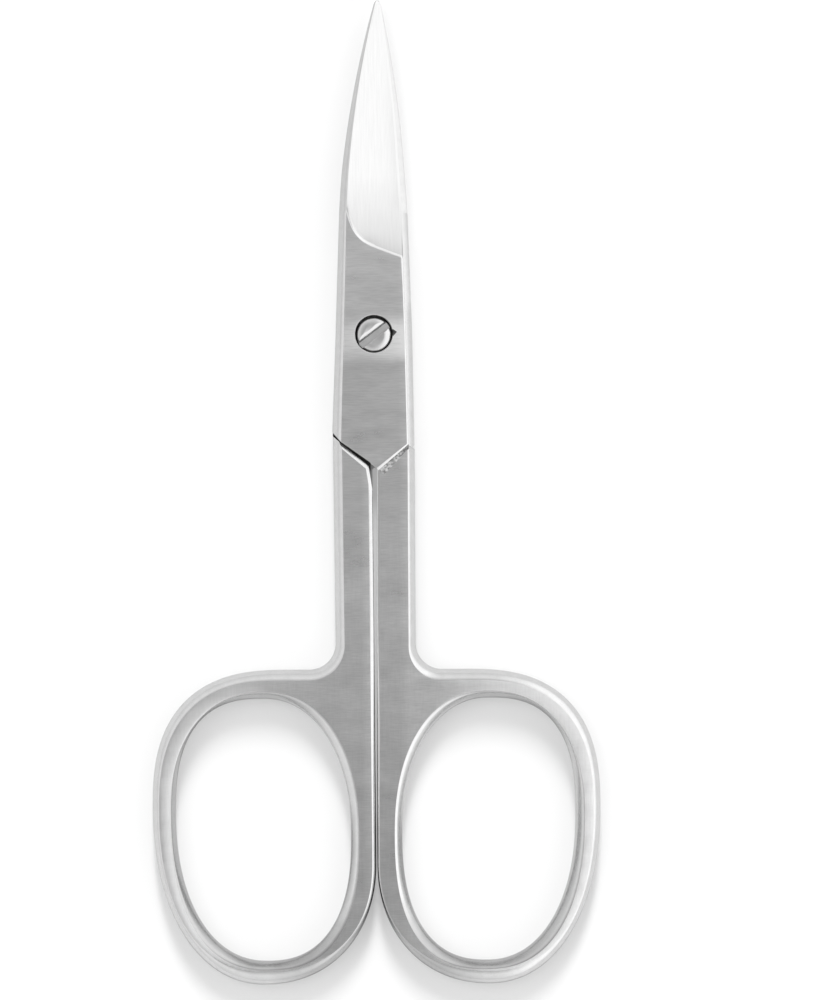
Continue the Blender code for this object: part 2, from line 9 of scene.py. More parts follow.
import bmesh
import bpy
import numpy as np
from mathutils import Matrix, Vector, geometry


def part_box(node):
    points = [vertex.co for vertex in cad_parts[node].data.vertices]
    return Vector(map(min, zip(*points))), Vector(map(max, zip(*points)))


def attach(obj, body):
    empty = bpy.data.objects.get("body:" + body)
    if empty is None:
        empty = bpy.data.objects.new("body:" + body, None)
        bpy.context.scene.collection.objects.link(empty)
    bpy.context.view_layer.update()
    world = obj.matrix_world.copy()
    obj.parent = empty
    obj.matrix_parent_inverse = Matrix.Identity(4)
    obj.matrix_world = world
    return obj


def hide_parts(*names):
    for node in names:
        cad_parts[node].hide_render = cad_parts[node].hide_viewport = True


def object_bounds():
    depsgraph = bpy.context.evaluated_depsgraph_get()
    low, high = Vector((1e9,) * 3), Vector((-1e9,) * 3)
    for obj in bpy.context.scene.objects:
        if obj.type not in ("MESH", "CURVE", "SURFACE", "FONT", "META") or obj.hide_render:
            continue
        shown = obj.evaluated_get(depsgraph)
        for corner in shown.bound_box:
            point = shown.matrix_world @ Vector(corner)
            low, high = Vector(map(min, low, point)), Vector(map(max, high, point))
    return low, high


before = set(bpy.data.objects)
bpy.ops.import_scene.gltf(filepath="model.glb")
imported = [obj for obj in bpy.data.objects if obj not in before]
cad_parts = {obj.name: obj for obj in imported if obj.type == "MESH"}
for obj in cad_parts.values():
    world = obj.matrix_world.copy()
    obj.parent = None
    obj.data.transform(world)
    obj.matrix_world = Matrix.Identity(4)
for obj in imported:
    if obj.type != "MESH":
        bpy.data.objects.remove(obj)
cad_low, cad_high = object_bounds()

MM = 0.001

# Sizes that the frame gives
front_low, front_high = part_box("front_half")
TIP_REACH = front_high.y / MM
HANDLE_REACH = -front_low.y / MM
BOW_REACH = front_high.x / MM
BLOCK_THICKNESS = cad_high.z / MM

# Lengths from the pivot's axis
BOW_TOP_REACH = 30.57
VEE_REACH = 12.2
FRONT_SHOULDER_REACH = 10.45
REAR_SHOULDER_REACH = 9.25

# Thickness
HANDLE_SETBACK = 0.3
BLADE_CLEARANCE = 0.1
TIP_THICKNESS = 0.85
CUTTING_EDGE_THICKNESS = 0.13

# Blade and pivot block, seen from the front
PIVOT_HALF_WIDTH = 3.5
BLADE_TAPER = 0.033
BLADE_CURVE_START = 9.5
BLADE_BACK_RADIUS = 100.0
EDGE_SETBACK = 0.56
EDGE_TAPER = 0.018
EDGE_SETBACK_CURVE = 3
TIP_SET = 0.47
TIP_SET_START = 14.5
TIP_SET_CURVE = 1.15
TIP_NOSE_LENGTH = 0.4
TIP_NOSE_SHARE = 0.35

# Ground face of the blade
GRIND_EDGE_REACH = 7.05
BLOCK_END = GRIND_EDGE_REACH / 2
GRIND_BACK_REACH = 11.3
GRIND_END_CURVE = 7
GRIND_END_CURVE_SHARE = 0.55
GRIND_RUN_OUT = 4.6
GRIND_RIM_ROUND = 0.06
GRIND_RIM_WIDTH = 0.19
GRIND_RIM_DROP = 0.1
GRIND_LAND_WIDTH = 0.1
GRIND_LAND_RISE = 0.06
STEEPEST_GRIND = 0.5
GRIND_HOLLOW = 0.3

# Rounded sides: share of the strip's width, out from the flat face, and drop
BACK_STRIP = 0.76
BACK_STRIP_TAPER = 0.006
STRIP_PROFILE = ((0.0, 0.0), (0.05, 0.018), (0.15, 0.055), (0.26, 0.11), (0.4, 0.2),
                 (0.55, 0.32), (0.7, 0.47), (0.83, 0.66), (0.93, 0.87), (0.985, 1.1))
STRIP_LOSS_AT_TIP = 0.8
STRIP_LOSS_CURVE = 1.5
BLOCK_EDGE_WIDTH = 0.15
BLOCK_EDGE_PROFILE = ((0.25, 0.015), (0.5, 0.04), (0.75, 0.07), (1.0, 0.105))
PARTING_DROP_SHARE_AT_BOWS = 0.45
PARTING_DROP_FADE = 2.5
INNER_ROUND_WIDTH = 0.6
INNER_ROUND_HEIGHT = 0.55
INNER_ROUND_HEIGHT_AT_BLADE = 0.38
INNER_ROUND_CHANGE_START = 4.5
INNER_ROUND_CHANGE_LENGTH = 6.0
INNER_ROUND_PROFILE = ((1.0, 1.0), (0.95, 0.93), (0.85, 0.81), (0.7, 0.64), (0.5, 0.43),
                       (0.3, 0.24), (0.1, 0.07))
SHOULDER_CHAMFER_WIDTH = 0.24
SHOULDER_CHAMFER_DROP = 0.14

# The V joint
VEE_GAP = 0.42
VEE_BEND_DROP = 0.5
VEE_LEFT_X = 0.28
VEE_RIGHT_X = 0.17
VEE_POINT_RISE = 0.35
VEE_CORNER_X = 0.45
VEE_CORNER_RISE = 0.61
VEE_EDGE_WIDTH = 0.04
VEE_EDGE_DROP = 0.06
RIDGE_END_RISE = 0.6
RIDGE_CHAMFER_WIDTH = 0.15
RIDGE_CHAMFER_DROP = 0.06
RIDGE_WIDTH = 0.6
RIDGE_FOOT_SLANT = (VEE_RIGHT_X + VEE_LEFT_X) / VEE_POINT_RISE
RIDGE_ROOT = 0.03
SHOULDER_CORNER_X = 0.555
SHOULDER_CORNER_RISE = 0.22
RELIEF_TOP_X = 0.24
RELIEF_TOP_REACH = 13.95
RELIEF_BOTTOM_REACH = 15.9

# Shanks and the gap between them
SHANK_HALF_WIDTH = 3.66
PARTING_GAP_AT_VEE = 0.42
PARTING_GAP_AT_STOP = 0.1
STOP_REACH = 46.0
PARTING_STRIP = 0.3
BOWS_START_REACH = 25.0
BOW_FILLET_RADIUS = 2.4

# Finger bows
BOTTOM_WALL = 2.15
INNER_WALL = 2.34
TOP_WALL = 2.63
BOW_OUTER_BULGE = 43.2
BOW_INNER_BULGE = 48.2
BOW_TOP_X = 8.28
BOW_BOTTOM_X = 10.27
HOLE_OUTER_BULGE = 43.6
HOLE_INNER_BULGE = 45.7
HOLE_TOP_X = 10.31
HOLE_BOTTOM_X = 10.03
BOW_OUTER_STRIP = 0.63
BOW_BOTTOM_STRIP = 1.2
BOW_TOP_STRIP = 1.0
HOLE_BOTTOM_BEVEL = 0.78
HOLE_TOP_BEVEL = 0.65
HOLE_PROFILE = ((0.0, 0.0), (0.04, 0.008), (0.24, 0.095), (0.36, 0.19), (0.5, 0.32),
                (0.72, 0.53), (0.9, 0.74), (0.97, 0.86), (1.0, 1.0))
BOW_SQUARENESS = (2.15, 2.13, 2.58)
BOW_FLAT_SQUARENESS = (2.28, 2.29, 2.45)
HOLE_SQUARENESS = (2.43, 2.2, 2.58, 2.15)
HOLE_FLAT_SQUARENESS = (2.55, 2.36, 2.22, 2.24)

# The bow's face is slightly crowned between its two borders, and twisted on its outer side
CROWN_DROP = 0.05
CROWN_FADE = 0.26
CROWN_START_X = 4.0
CROWN_GROWTH = 6.0
TWIST_DROP = 0.14
TWIST_START_X = 9.0
TWIST_GROWTH = 8.0

# Pivot screw and its bore
SCREW_HEAD_RADIUS = 1.585
SCREW_HEAD_HEIGHT = 0.85
SCREW_HEAD_RECESS = 0.04
SCREW_SHANK_RADIUS = 1.0
SCREW_SHANK_CLEARANCE = 0.05
SCREW_SEAT_CLEARANCE = 0.05
SCREW_END_CHAMFER = 0.1
DISH_RADIUS = 0.92
DISH_DEPTH = 0.07
DISH_STEPS = 8
HEAD_EDGE = ((0.99, 0.008), (1.06, 0.018), (1.14, 0.036), (1.25, 0.068), (1.36, 0.11),
             (1.48, 0.165), (1.56, 0.23), (SCREW_HEAD_RADIUS, 0.3))
SLOT_WIDTH = 0.72
SLOT_DEPTH = 0.4
SLOT_LIP_WIDTH = 0.17
SLOT_LIP_DROP = 0.085
SLOT_LIP_SMALL = 0.04
SLOT_DRAFT = 0.16
SLOT_ANGLE = math.radians(37)
BORE_RADIUS = 1.725
BORE_RISE = 0.085
BORE_CHAMFER = 0.05
PUNCH_MARK_LENGTH = 0.95
PUNCH_MARK_REACH = 2.12
PUNCH_MARK_DEPTH = 0.3
PUNCH_MARK_ANGLE = math.radians(7)

# Fineness
BOW_STEPS = 64
HOLE_STEPS = 60
FILLET_STEPS = 24
PARTING_STEPS = 50
STOP_STEPS = 4
SHANK_STEPS = 30
PIVOT_STEPS = 128
COLUMNS = 40
ARM_STEPS = (COLUMNS - 2) // 2
BLOCK_ROWS = 6
RIM_ROWS = 6
RIM_ROWS_LEAD = GRIND_RIM_ROUND * 2.5
RIM_LINE_ROWS = 3
RIM_LINE_GROWTH = 5
RIM_LINE_CURVE = 3
RUN_OUT_ROWS = 24
RUN_OUT_CROWDING = 1.5
BLADE_ROWS = 60
NOSE_ROWS = 6
VEE_ROWS = 2
CAP_SPACING = 0.17
CAP_TOLERANCE = 1e-6
SHARP_ANGLE = math.radians(32)
LEVEL_LIMIT = math.cos(math.radians(0.2))
SLOPE_LIMIT = math.cos(math.radians(3))
CUT_MARGIN = 1.0

MID_PLANE = BLOCK_THICKNESS / 2
LAP_FLOOR = MID_PLANE + BLADE_CLEARANCE / 2
LAP_THICKNESS = BLOCK_THICKNESS - LAP_FLOOR
HANDLE_HEIGHT = MID_PLANE - HANDLE_SETBACK
NOSE_START = TIP_REACH - TIP_NOSE_LENGTH

# What differs between the two halves
Half = namedtuple("Half", "shoulder_reach shoulder_rise mate_reach shoulder_width block_taper"
                          " tip_side side_strip outer_wall hole_outer_bevel hole_inner_bevel"
                          " hole_inner_drop parting_strip parting_drop")
FRONT = Half(shoulder_reach=FRONT_SHOULDER_REACH, shoulder_rise=0.0,
             mate_reach=REAR_SHOULDER_REACH, shoulder_width=SHANK_HALF_WIDTH,
             block_taper=0.04, tip_side=1, side_strip=0.64, outer_wall=2.28,
             hole_outer_bevel=0.82, hole_inner_bevel=0.68, hole_inner_drop=0.76,
             parting_strip=0.22, parting_drop=0.07)
REAR = Half(shoulder_reach=REAR_SHOULDER_REACH, shoulder_rise=0.42,
            mate_reach=FRONT_SHOULDER_REACH, shoulder_width=SHANK_HALF_WIDTH + 0.15,
            block_taper=0.014, tip_side=-1, side_strip=0.84, outer_wall=2.12,
            hole_outer_bevel=0.52, hole_inner_bevel=0.78, hole_inner_drop=0.6,
            parting_strip=0.36, parting_drop=0.14)

# Order of the materials on each half
BRUSHED, EDGE, BEVEL, POLISHED, FORGED, RECESS = range(6)

# The screw's second material, on the slanted wall of its slot
SLOT_WALL = 1


# Meshes

def mesh_object(name, bm, materials):
    bmesh.ops.recalc_face_normals(bm, faces=bm.faces)
    mesh = bpy.data.meshes.new(name)
    bm.to_mesh(mesh)
    bm.free()
    item = bpy.data.objects.new(name, mesh)
    bpy.context.collection.objects.link(item)
    for material in materials:
        mesh.materials.append(material)
    return item


def add_boolean(item, cutter, operation):
    modifier = item.modifiers.new(cutter.name, "BOOLEAN")
    modifier.operation = operation
    modifier.solver = "EXACT"
    modifier.object = cutter
    cutter.hide_render = True


def finish(item):
    """Apply the cuts, remove the cutters, bring the mesh to metres and shade it smooth."""
    cutters = [modifier.object for modifier in item.modifiers]
    depsgraph = bpy.context.evaluated_depsgraph_get()
    item.data = bpy.data.meshes.new_from_object(item.evaluated_get(depsgraph))
    item.data.name = item.name
    item.modifiers.clear()
    for cutter in cutters:
        bpy.data.objects.remove(cutter, do_unlink=True)
    item.data.transform(Matrix.Scale(MM, 4))
    item.data.shade_smooth()
    item.data.set_sharp_from_angle(angle=SHARP_ANGLE)
    keep_flats(item.data)
    normals = item.modifiers.new("weighted normals", "WEIGHTED_NORMAL")
    normals.keep_sharp = True


def keep_flats(mesh):
    """A sharp border round every level face, so that its shading stays even."""
    bm = bmesh.new()
    bm.from_mesh(mesh)
    for edge in bm.edges:
        levels = sorted(abs(face.normal.z) for face in edge.link_faces)
        if levels[-1] > LEVEL_LIMIT and levels[0] < SLOPE_LIMIT:
            edge.smooth = False
    bm.to_mesh(mesh)
    bm.free()


def between(first, second, share):
    return first + (second - first) * share


def mix(first, second, share):
    return tuple(between(a, b, share) for a, b in zip(first, second))


def smooth_step(value):
    share = min(max(value, 0.0), 1.0)
    return share * share * (3 - 2 * share)


def add_wall(bm, rings, material=0):
    """Bands of faces that join each closed ring of points to the next."""
    for low, high in zip(rings, rings[1:]):
        for index in range(len(low)):
            follow = (index + 1) % len(low)
            face = bm.faces.new((low[index], low[follow], high[follow], high[index]))
            face.material_index = material


def add_ends(bm, rings, material=0):
    for ring in (rings[0], rings[-1]):
        bm.faces.new(ring).material_index = material


# Handle: stacked outlines with rounded edges, and a finger hole through them

def quarter(start, end, squareness, steps, starts_upright):
    """Quarter of a superellipse from one extreme point of an outline to the next."""
    power = 2 / squareness
    points = []
    for step in range(steps):
        angle = math.pi / 2 * step / steps
        near = math.cos(angle) ** power
        far = math.sin(angle) ** power
        if starts_upright:
            points.append((between(end[0], start[0], near), between(start[1], end[1], far)))
        else:
            points.append((between(start[0], end[0], far), between(end[1], start[1], near)))
    return points


def oval(extremes, squareness, steps):
    """Quarters from each extreme point to the next, which lie by turns at a side and an end."""
    points = []
    for index, (start, end) in enumerate(zip(extremes, extremes[1:])):
        points += quarter(start, end, squareness[index], steps, index % 2 == 0)
    return points


def hole_outline(grow, half):
    """Outline of the finger hole, from its edge (grow 0) out to the flat face (grow 1)."""
    squareness = mix(HOLE_SQUARENESS, HOLE_FLAT_SQUARENESS, grow)
    inner = (INNER_WALL - half.hole_inner_bevel * grow, -HOLE_INNER_BULGE)
    bottom = (HOLE_BOTTOM_X, -(HANDLE_REACH - BOTTOM_WALL) - HOLE_BOTTOM_BEVEL * grow)
    outer = (BOW_REACH - half.outer_wall + half.hole_outer_bevel * grow, -HOLE_OUTER_BULGE)
    top = (HOLE_TOP_X, -(BOW_TOP_REACH + TOP_WALL) + HOLE_TOP_BEVEL * grow)
    return oval((inner, bottom, outer, top, inner), squareness, HOLE_STEPS)


def straight(start, end, steps):
    return [mix(start, end, step / steps) for step in range(steps)]


def handle_outline(shrink, half):
    """Outline of shank and bow, from the silhouette (shrink 0) in to the flat face (shrink 1)."""
    bottom_strip = BOW_BOTTOM_STRIP * shrink
    top_strip = BOW_TOP_STRIP * shrink
    parting_strip = half.parting_strip * shrink
    side_strip = half.side_strip * shrink
    squareness = mix(BOW_SQUARENESS, BOW_FLAT_SQUARENESS, shrink)
    stop = (PARTING_GAP_AT_STOP / 2 + parting_strip, -STOP_REACH)
    vee = (PARTING_GAP_AT_VEE / 2 + parting_strip, -VEE_REACH)
    inner = (stop[0], -BOW_INNER_BULGE)
    bottom = (BOW_BOTTOM_X, -HANDLE_REACH + bottom_strip)
    outer = (BOW_REACH - BOW_OUTER_STRIP * shrink, -BOW_OUTER_BULGE)
    top = (BOW_TOP_X + top_strip, -BOW_TOP_REACH - top_strip)
    points = straight(vee, stop, PARTING_STEPS) + straight(stop, inner, STOP_STEPS)
    points += oval((inner, bottom, outer, top), squareness, BOW_STEPS)
    points.append(top)
    radius = BOW_FILLET_RADIUS + side_strip
    centre_x = SHANK_HALF_WIDTH - side_strip + radius
    centre_y = top[1] + radius
    for step in range(FILLET_STEPS):
        angle = math.pi / 2 * step / FILLET_STEPS
        points.append((centre_x - radius * math.sin(angle), centre_y - radius * math.cos(angle)))
    shoulder = (half.shoulder_width - side_strip, half.shoulder_rise - half.shoulder_reach)
    points += straight((centre_x - radius, centre_y), shoulder, SHANK_STEPS)
    points.append(shoulder)
    return points


def tongue(half):
    """The end of the handle that lies inside the pivot block, from its side to the V point."""
    side_x = PIVOT_HALF_WIDTH - EDGE_SETBACK * 2
    side_y = -(half.shoulder_reach + VEE_REACH) / 2 + VEE_REACH - half.shoulder_reach
    return [(side_x, side_y), (PARTING_GAP_AT_VEE / 2, -half.shoulder_reach)]


def crown(x):
    """How far the bow's face drops at its borders. The shank stays flat."""
    return CROWN_DROP * smooth_step((x - CROWN_START_X) / CROWN_GROWTH)


def twist(x):
    """How far one border of the bow's face drops more than the other, on the outer side."""
    return TWIST_DROP * smooth_step((x - TWIST_START_X) / TWIST_GROWTH)


def hole_drop_share(x, y, half):
    """The hole's bevel is steep along the outer side and shallower along the inner side."""
    return between(half.hole_inner_drop, 1.0, smooth_step((x - INNER_WALL) / HOLE_TOP_X))


def strip_drop_share(x, y, half):
    """The side next to the other handle has a shallow bevel, deeper between the bows."""
    way = smooth_step((-y - BOWS_START_REACH) / (STOP_REACH - BOWS_START_REACH))
    shallow = between(half.parting_drop, PARTING_DROP_SHARE_AT_BOWS, way)
    return between(shallow, 1.0, smooth_step((x - PARTING_STRIP) / PARTING_DROP_FADE))


def wall_rings(bm, flat, full, profile, drop_share, half, twisted_side):
    """Rings of points down one side of a wall from one flat face to the other."""
    sides = []
    for side in (1, -1):
        rings = []
        for share, drop in profile:
            ring = []
            for inside, outside in zip(flat, full):
                x, y = mix(inside, outside, share)
                height = HANDLE_HEIGHT - drop * drop_share(x, y, half)
                border = crown(x) + (twist(x) if side == twisted_side else 0.0)
                height *= 1 - border / HANDLE_HEIGHT
                ring.append((x, y, MID_PLANE + side * height))
            rings.append(ring)
        sides.append(rings)
    middle = [(x, y, MID_PLANE) for x, y in full]
    rings = sides[0] + [middle] + sides[1][::-1]
    return [[bm.verts.new(point) for point in ring] for ring in rings]


def make_handle(name, half, materials):
    """Closed body from stacked outlines that all have as many points, with a hole through it."""
    bm = bmesh.new()
    flat = handle_outline(1, half) + tongue(half)
    full = handle_outline(0, half) + tongue(half)
    outer = wall_rings(bm, flat, full, STRIP_PROFILE, strip_drop_share, half, 1)
    hole = wall_rings(bm, hole_outline(1, half), hole_outline(0, half), HOLE_PROFILE,
                      hole_drop_share, half, -1)
    add_wall(bm, outer, EDGE)
    add_wall(bm, hole, BEVEL)
    inside = cap_points(flat, hole_outline(1, half))
    for ring, side in ((0, 1), (-1, -1)):
        add_cap(bm, outer[ring], hole[ring], inside, side)
    return mesh_object(name, bm, materials)


def distance_to(outline, x, y):
    """Distance of each point to the nearest side of an outline, and whether it lies inside."""
    start = np.array(outline)
    end = np.roll(start, -1, 0)
    near = np.full(x.shape, np.inf)
    inside = np.zeros(x.shape, bool)
    for (x0, y0), (x1, y1) in zip(start, end):
        dx, dy = x1 - x0, y1 - y0
        along = np.clip(((x - x0) * dx + (y - y0) * dy) / (dx * dx + dy * dy), 0, 1)
        near = np.minimum(near, np.hypot(x - x0 - along * dx, y - y0 - along * dy))
        if dy:
            crosses = (y0 > y) != (y1 > y)
            inside ^= crosses & (x < x0 + (y - y0) * dx / dy)
    return near, inside


def cap_points(outline, hole):
    """Points spread over the crowned part of the face, with their gaps to its two borders."""
    columns = np.arange(CROWN_START_X, BOW_REACH, CAP_SPACING)
    rows = np.arange(-HANDLE_REACH, -BOW_TOP_REACH, CAP_SPACING)
    x, y = (grid.ravel() for grid in np.meshgrid(columns, rows))
    outer_gap, in_outline = distance_to(outline, x, y)
    hole_gap, in_hole = distance_to(hole, x, y)
    gap = np.minimum(outer_gap, hole_gap)
    kept = in_outline & ~in_hole & (gap > CAP_SPACING / 2)
    return list(zip(x[kept], y[kept], outer_gap[kept], hole_gap[kept]))


def add_cap(bm, outer_ring, hole_ring, inside, side):
    """Face between the outline and the hole, over the crown's points."""
    verts = list(outer_ring) + list(hole_ring)
    for x, y, outer_gap, hole_gap in inside:
        drop = crown(x) * math.exp(-min(outer_gap, hole_gap) / CROWN_FADE)
        twisted_gap = hole_gap if side > 0 else outer_gap
        drop += twist(x) * twisted_gap / (outer_gap + hole_gap)
        verts.append(bm.verts.new((x, y, MID_PLANE + side * (HANDLE_HEIGHT - drop))))
    count = len(outer_ring)
    total = count + len(hole_ring)
    edges = [(index, (index + 1) % count) for index in range(count)]
    edges += [(index, index + 1 if index + 1 < total else count) for index in range(count, total)]
    flat = [vert.co.xy for vert in verts]
    _, _, faces, origins, _, _ = geometry.delaunay_2d_cdt(flat, edges, [], 1, CAP_TOLERANCE)
    triangles = [[origins[index][0] for index in face] for face in faces]
    middles = np.array([[flat[index] for index in triangle] for triangle in triangles]).mean(1)
    in_hole = distance_to(flat[count:total], middles[:, 0], middles[:, 1])[1]
    for triangle, skipped in zip(triangles, in_hole):
        if not skipped:
            bm.faces.new([verts[index] for index in triangle]).material_index = BRUSHED


# Blade with its pivot block: closed cross-sections from the V joint to the tip

def half_width(y, half):
    """Distance from the centre line to the back of the blade."""
    if y <= 0:
        return PIVOT_HALF_WIDTH - half.block_taper * y
    along = max(y - BLADE_CURVE_START, 0.0)
    drop = BLADE_BACK_RADIUS - math.sqrt(BLADE_BACK_RADIUS ** 2 - along ** 2)
    return PIVOT_HALF_WIDTH - BLADE_TAPER * y - drop


def nose(y):
    """Share of the width that is left where the tip is rounded."""
    along = min(max((y - NOSE_START) / TIP_NOSE_LENGTH, 0.0), 1.0)
    return between(TIP_NOSE_SHARE, 1.0, math.sqrt(1 - along ** 2))


def tip_set(y, half):
    """Both tips lean a little to the same side, which is the other side once turned over."""
    along = max(y - TIP_SET_START, 0.0) / (TIP_REACH - TIP_SET_START)
    return half.tip_side * TIP_SET * along ** TIP_SET_CURVE


def back_x(y, half):
    return tip_set(y, half) - half_width(y, half) * nose(y)


def edge_x(y, half):
    if y <= 0:
        return PIVOT_HALF_WIDTH - EDGE_SETBACK - EDGE_TAPER * y
    setback = EDGE_SETBACK * (1 - (y / TIP_REACH) ** EDGE_SETBACK_CURVE)
    return tip_set(y, half) + (half_width(y, half) - setback) * nose(y)


def way_to_tip(y):
    return max(y - GRIND_BACK_REACH, 0.0) / (TIP_REACH - GRIND_BACK_REACH)


def strip_share(y):
    """How wide the rounded back edge still is, as a share of its full width."""
    return (1 - STRIP_LOSS_AT_TIP * way_to_tip(y) ** STRIP_LOSS_CURVE) * nose(y)


def back_strip(y):
    """Width of the rounded back edge."""
    return (BACK_STRIP - BACK_STRIP_TAPER * y) * strip_share(y)


def inner_round_height(y):
    """Height of the rounding on the blade's inner side, lower on the blade."""
    way = smooth_step((y - INNER_ROUND_CHANGE_START) / INNER_ROUND_CHANGE_LENGTH)
    height = between(INNER_ROUND_HEIGHT, INNER_ROUND_HEIGHT_AT_BLADE, way)
    return height * strip_share(y)


def grind_end_y(share):
    """Where the ground face ends on the block: near at the edge, far at the back."""
    curve = between(share, share ** GRIND_END_CURVE, GRIND_END_CURVE_SHARE)
    return between(GRIND_EDGE_REACH, GRIND_BACK_REACH, curve)


def past_rim(y, share):
    """Distance beyond the rim of the ground face, softened close to the rim."""
    along = y - grind_end_y(share)
    return (along + math.hypot(along, GRIND_RIM_ROUND)) / 2


def ramp(y, share):
    """How much of the block's full height is left beyond the end of the ground face."""
    return (1 - min(past_rim(y, share) / GRIND_RUN_OUT, 1.0)) ** 2


def rim_drop(y, share):
    """The rim falls more steeply than the face beyond it."""
    return GRIND_RIM_DROP * share * min(past_rim(y, share) / GRIND_RIM_WIDTH, 1.0)


def face_height(y, share):
    """Height of the blade's face above the face between the blades."""
    if y < BLOCK_END:
        return LAP_THICKNESS
    edge = CUTTING_EDGE_THICKNESS + GRIND_LAND_RISE
    steepest = edge + STEEPEST_GRIND * 2 * half_width(y, FRONT) * nose(y)
    back = min(between(LAP_THICKNESS, TIP_THICKNESS, way_to_tip(y)), steepest)
    bevel = between(edge, back, between(share, share ** 2, GRIND_HOLLOW))
    return between(bevel, LAP_THICKNESS, ramp(y, share)) - rim_drop(y, share)


def lap_section(row_y, half):
    """Top, back and underside of one section, each a list of points from edge to back."""
    y = row_y(0)
    block_share = ramp(y, 0) if y > BLOCK_END else 1.0
    width = between(GRIND_LAND_WIDTH, BLOCK_EDGE_WIDTH, block_share) * nose(y)
    top = []
    for share, drop in reversed(BLOCK_EDGE_PROFILE):
        fall = between(GRIND_LAND_RISE * share, drop, block_share)
        top.append((edge_x(y, half) - width * (1 - share), y, face_height(y, 0) - fall))
    under = []
    for column in range(COLUMNS + 1):
        share = column / COLUMNS
        y = row_y(share)
        strip = back_strip(y)
        x = between(edge_x(y, half) - width, back_x(y, half) + strip, share)
        top.append((x, y, face_height(y, share)))
        inner_round = INNER_ROUND_WIDTH * strip_share(y)
        under.append((between(edge_x(y, half), back_x(y, half) + inner_round, share), y, 0.0))
    back = []
    height = face_height(y, 1)
    for share, drop in STRIP_PROFILE[1:]:
        x = back_x(y, half) + strip * (1 - share)
        back.append((x, y, height - drop * strip_share(y)))
    for share, rise in INNER_ROUND_PROFILE:
        x = back_x(y, half) + inner_round * (1 - share)
        back.append((x, y, inner_round_height(y) * rise))
    return top, back, under


def vee_sections(half):
    """Sections along the V joint: the foot of the block's ridge, its chamfer and its rim.

    The foot leans aside toward the V point, so that it stays clear of the gap between the handles.
    """
    right_y = -half.shoulder_reach + RIDGE_END_RISE
    left_y = -half.mate_reach + VEE_GAP
    right = (edge_x(right_y, half), right_y)
    right_point = (VEE_RIGHT_X, -VEE_REACH)
    left_point = (-VEE_LEFT_X, -VEE_REACH + VEE_POINT_RISE)
    corner = (-VEE_CORNER_X, -VEE_REACH + VEE_CORNER_RISE)
    left = (back_x(left_y, half), left_y)
    strip = back_strip(left_y)
    bend = (left[0] + strip, -half.mate_reach - VEE_BEND_DROP)
    right_length = right[0] - right_point[0]
    ridge = []
    for share, drop in reversed(BLOCK_EDGE_PROFILE):
        way = BLOCK_EDGE_WIDTH * (1 - share) / right_length
        ridge.append((mix(right, right_point, way), drop))
    first = mix(right, right_point, BLOCK_EDGE_WIDTH / right_length)
    for point in straight(first, right_point, ARM_STEPS) + [right_point]:
        ridge.append((point, 0.0))
    brow = [left_point] + straight(corner, bend, ARM_STEPS) + [bend]
    back = []
    for share, drop in STRIP_PROFILE[1:]:
        back.append((mix(bend, left, share), LAP_THICKNESS - drop))
    inner = mix(bend, left, 1 - INNER_ROUND_WIDTH / strip)
    for share, rise in INNER_ROUND_PROFILE:
        back.append((mix(inner, left, share), INNER_ROUND_HEIGHT * rise))
    sections = []
    for ridge_lead, ridge_drop, lead, edge_drop in (
            (RIDGE_WIDTH, HANDLE_SETBACK + RIDGE_ROOT, VEE_EDGE_WIDTH, VEE_EDGE_DROP),
            (RIDGE_CHAMFER_WIDTH, RIDGE_CHAMFER_DROP, VEE_EDGE_WIDTH / 2, VEE_EDGE_DROP / 2),
            (0.0, 0.0, 0.0, 0.0)):
        top = []
        for (x, y), drop in ridge:
            aside = ridge_lead * RIDGE_FOOT_SLANT * (right[0] - x) / right_length
            top.append((x + aside, y - ridge_lead, LAP_THICKNESS - max(ridge_drop, drop)))
        top += [(x, y - lead, LAP_THICKNESS - edge_drop) for x, y in brow]
        side = [(x, y - lead, z) for (x, y), z in back]
        plan = top[len(BLOCK_EDGE_PROFILE):]
        under = [(x, y, 0.0) for x, y, z in plan[:-1]]
        under[0] = (right[0], plan[0][1], 0.0)
        under.append((inner[0], inner[1] - lead, 0.0))
        sections.append((top, side, under))
    return sections


def make_lap(name, half, materials):
    """Half-thick body of one blade and its block, lying above the face between the blades."""
    sections = vee_sections(half)
    for step in range(1, BLOCK_ROWS + 1):
        y = between(-VEE_REACH / 2, BLOCK_END, step / BLOCK_ROWS)
        sections.append(lap_section(lambda share, y=y: y, half))
    for step in range(-RIM_ROWS, RUN_OUT_ROWS + 1):
        if step < 0:
            offset = RIM_ROWS_LEAD * step / RIM_ROWS
        else:
            offset = GRIND_RUN_OUT * (step / RUN_OUT_ROWS) ** RUN_OUT_CROWDING
        sections.append(lap_section(lambda share, gap=offset: grind_end_y(share) + gap, half))
    ground_from = len(sections) - RUN_OUT_ROWS - 1
    for step in range(1, BLADE_ROWS + 1):
        along = step / BLADE_ROWS
        sections.append(lap_section(lambda share, along=along: blade_y(share, along), half))
    for step in range(1, NOSE_ROWS + 1):
        y = between(NOSE_START, TIP_REACH, math.sin(math.pi / 2 * step / NOSE_ROWS))
        sections.append(lap_section(lambda share, y=y: y, half))
    return loft(name, sections, ground_from, materials)


def blade_y(share, along):
    """Rows of the blade: they start slanted, like the end of the ground face, and end square."""
    return between(grind_end_y(share) + GRIND_RUN_OUT, NOSE_START, along)


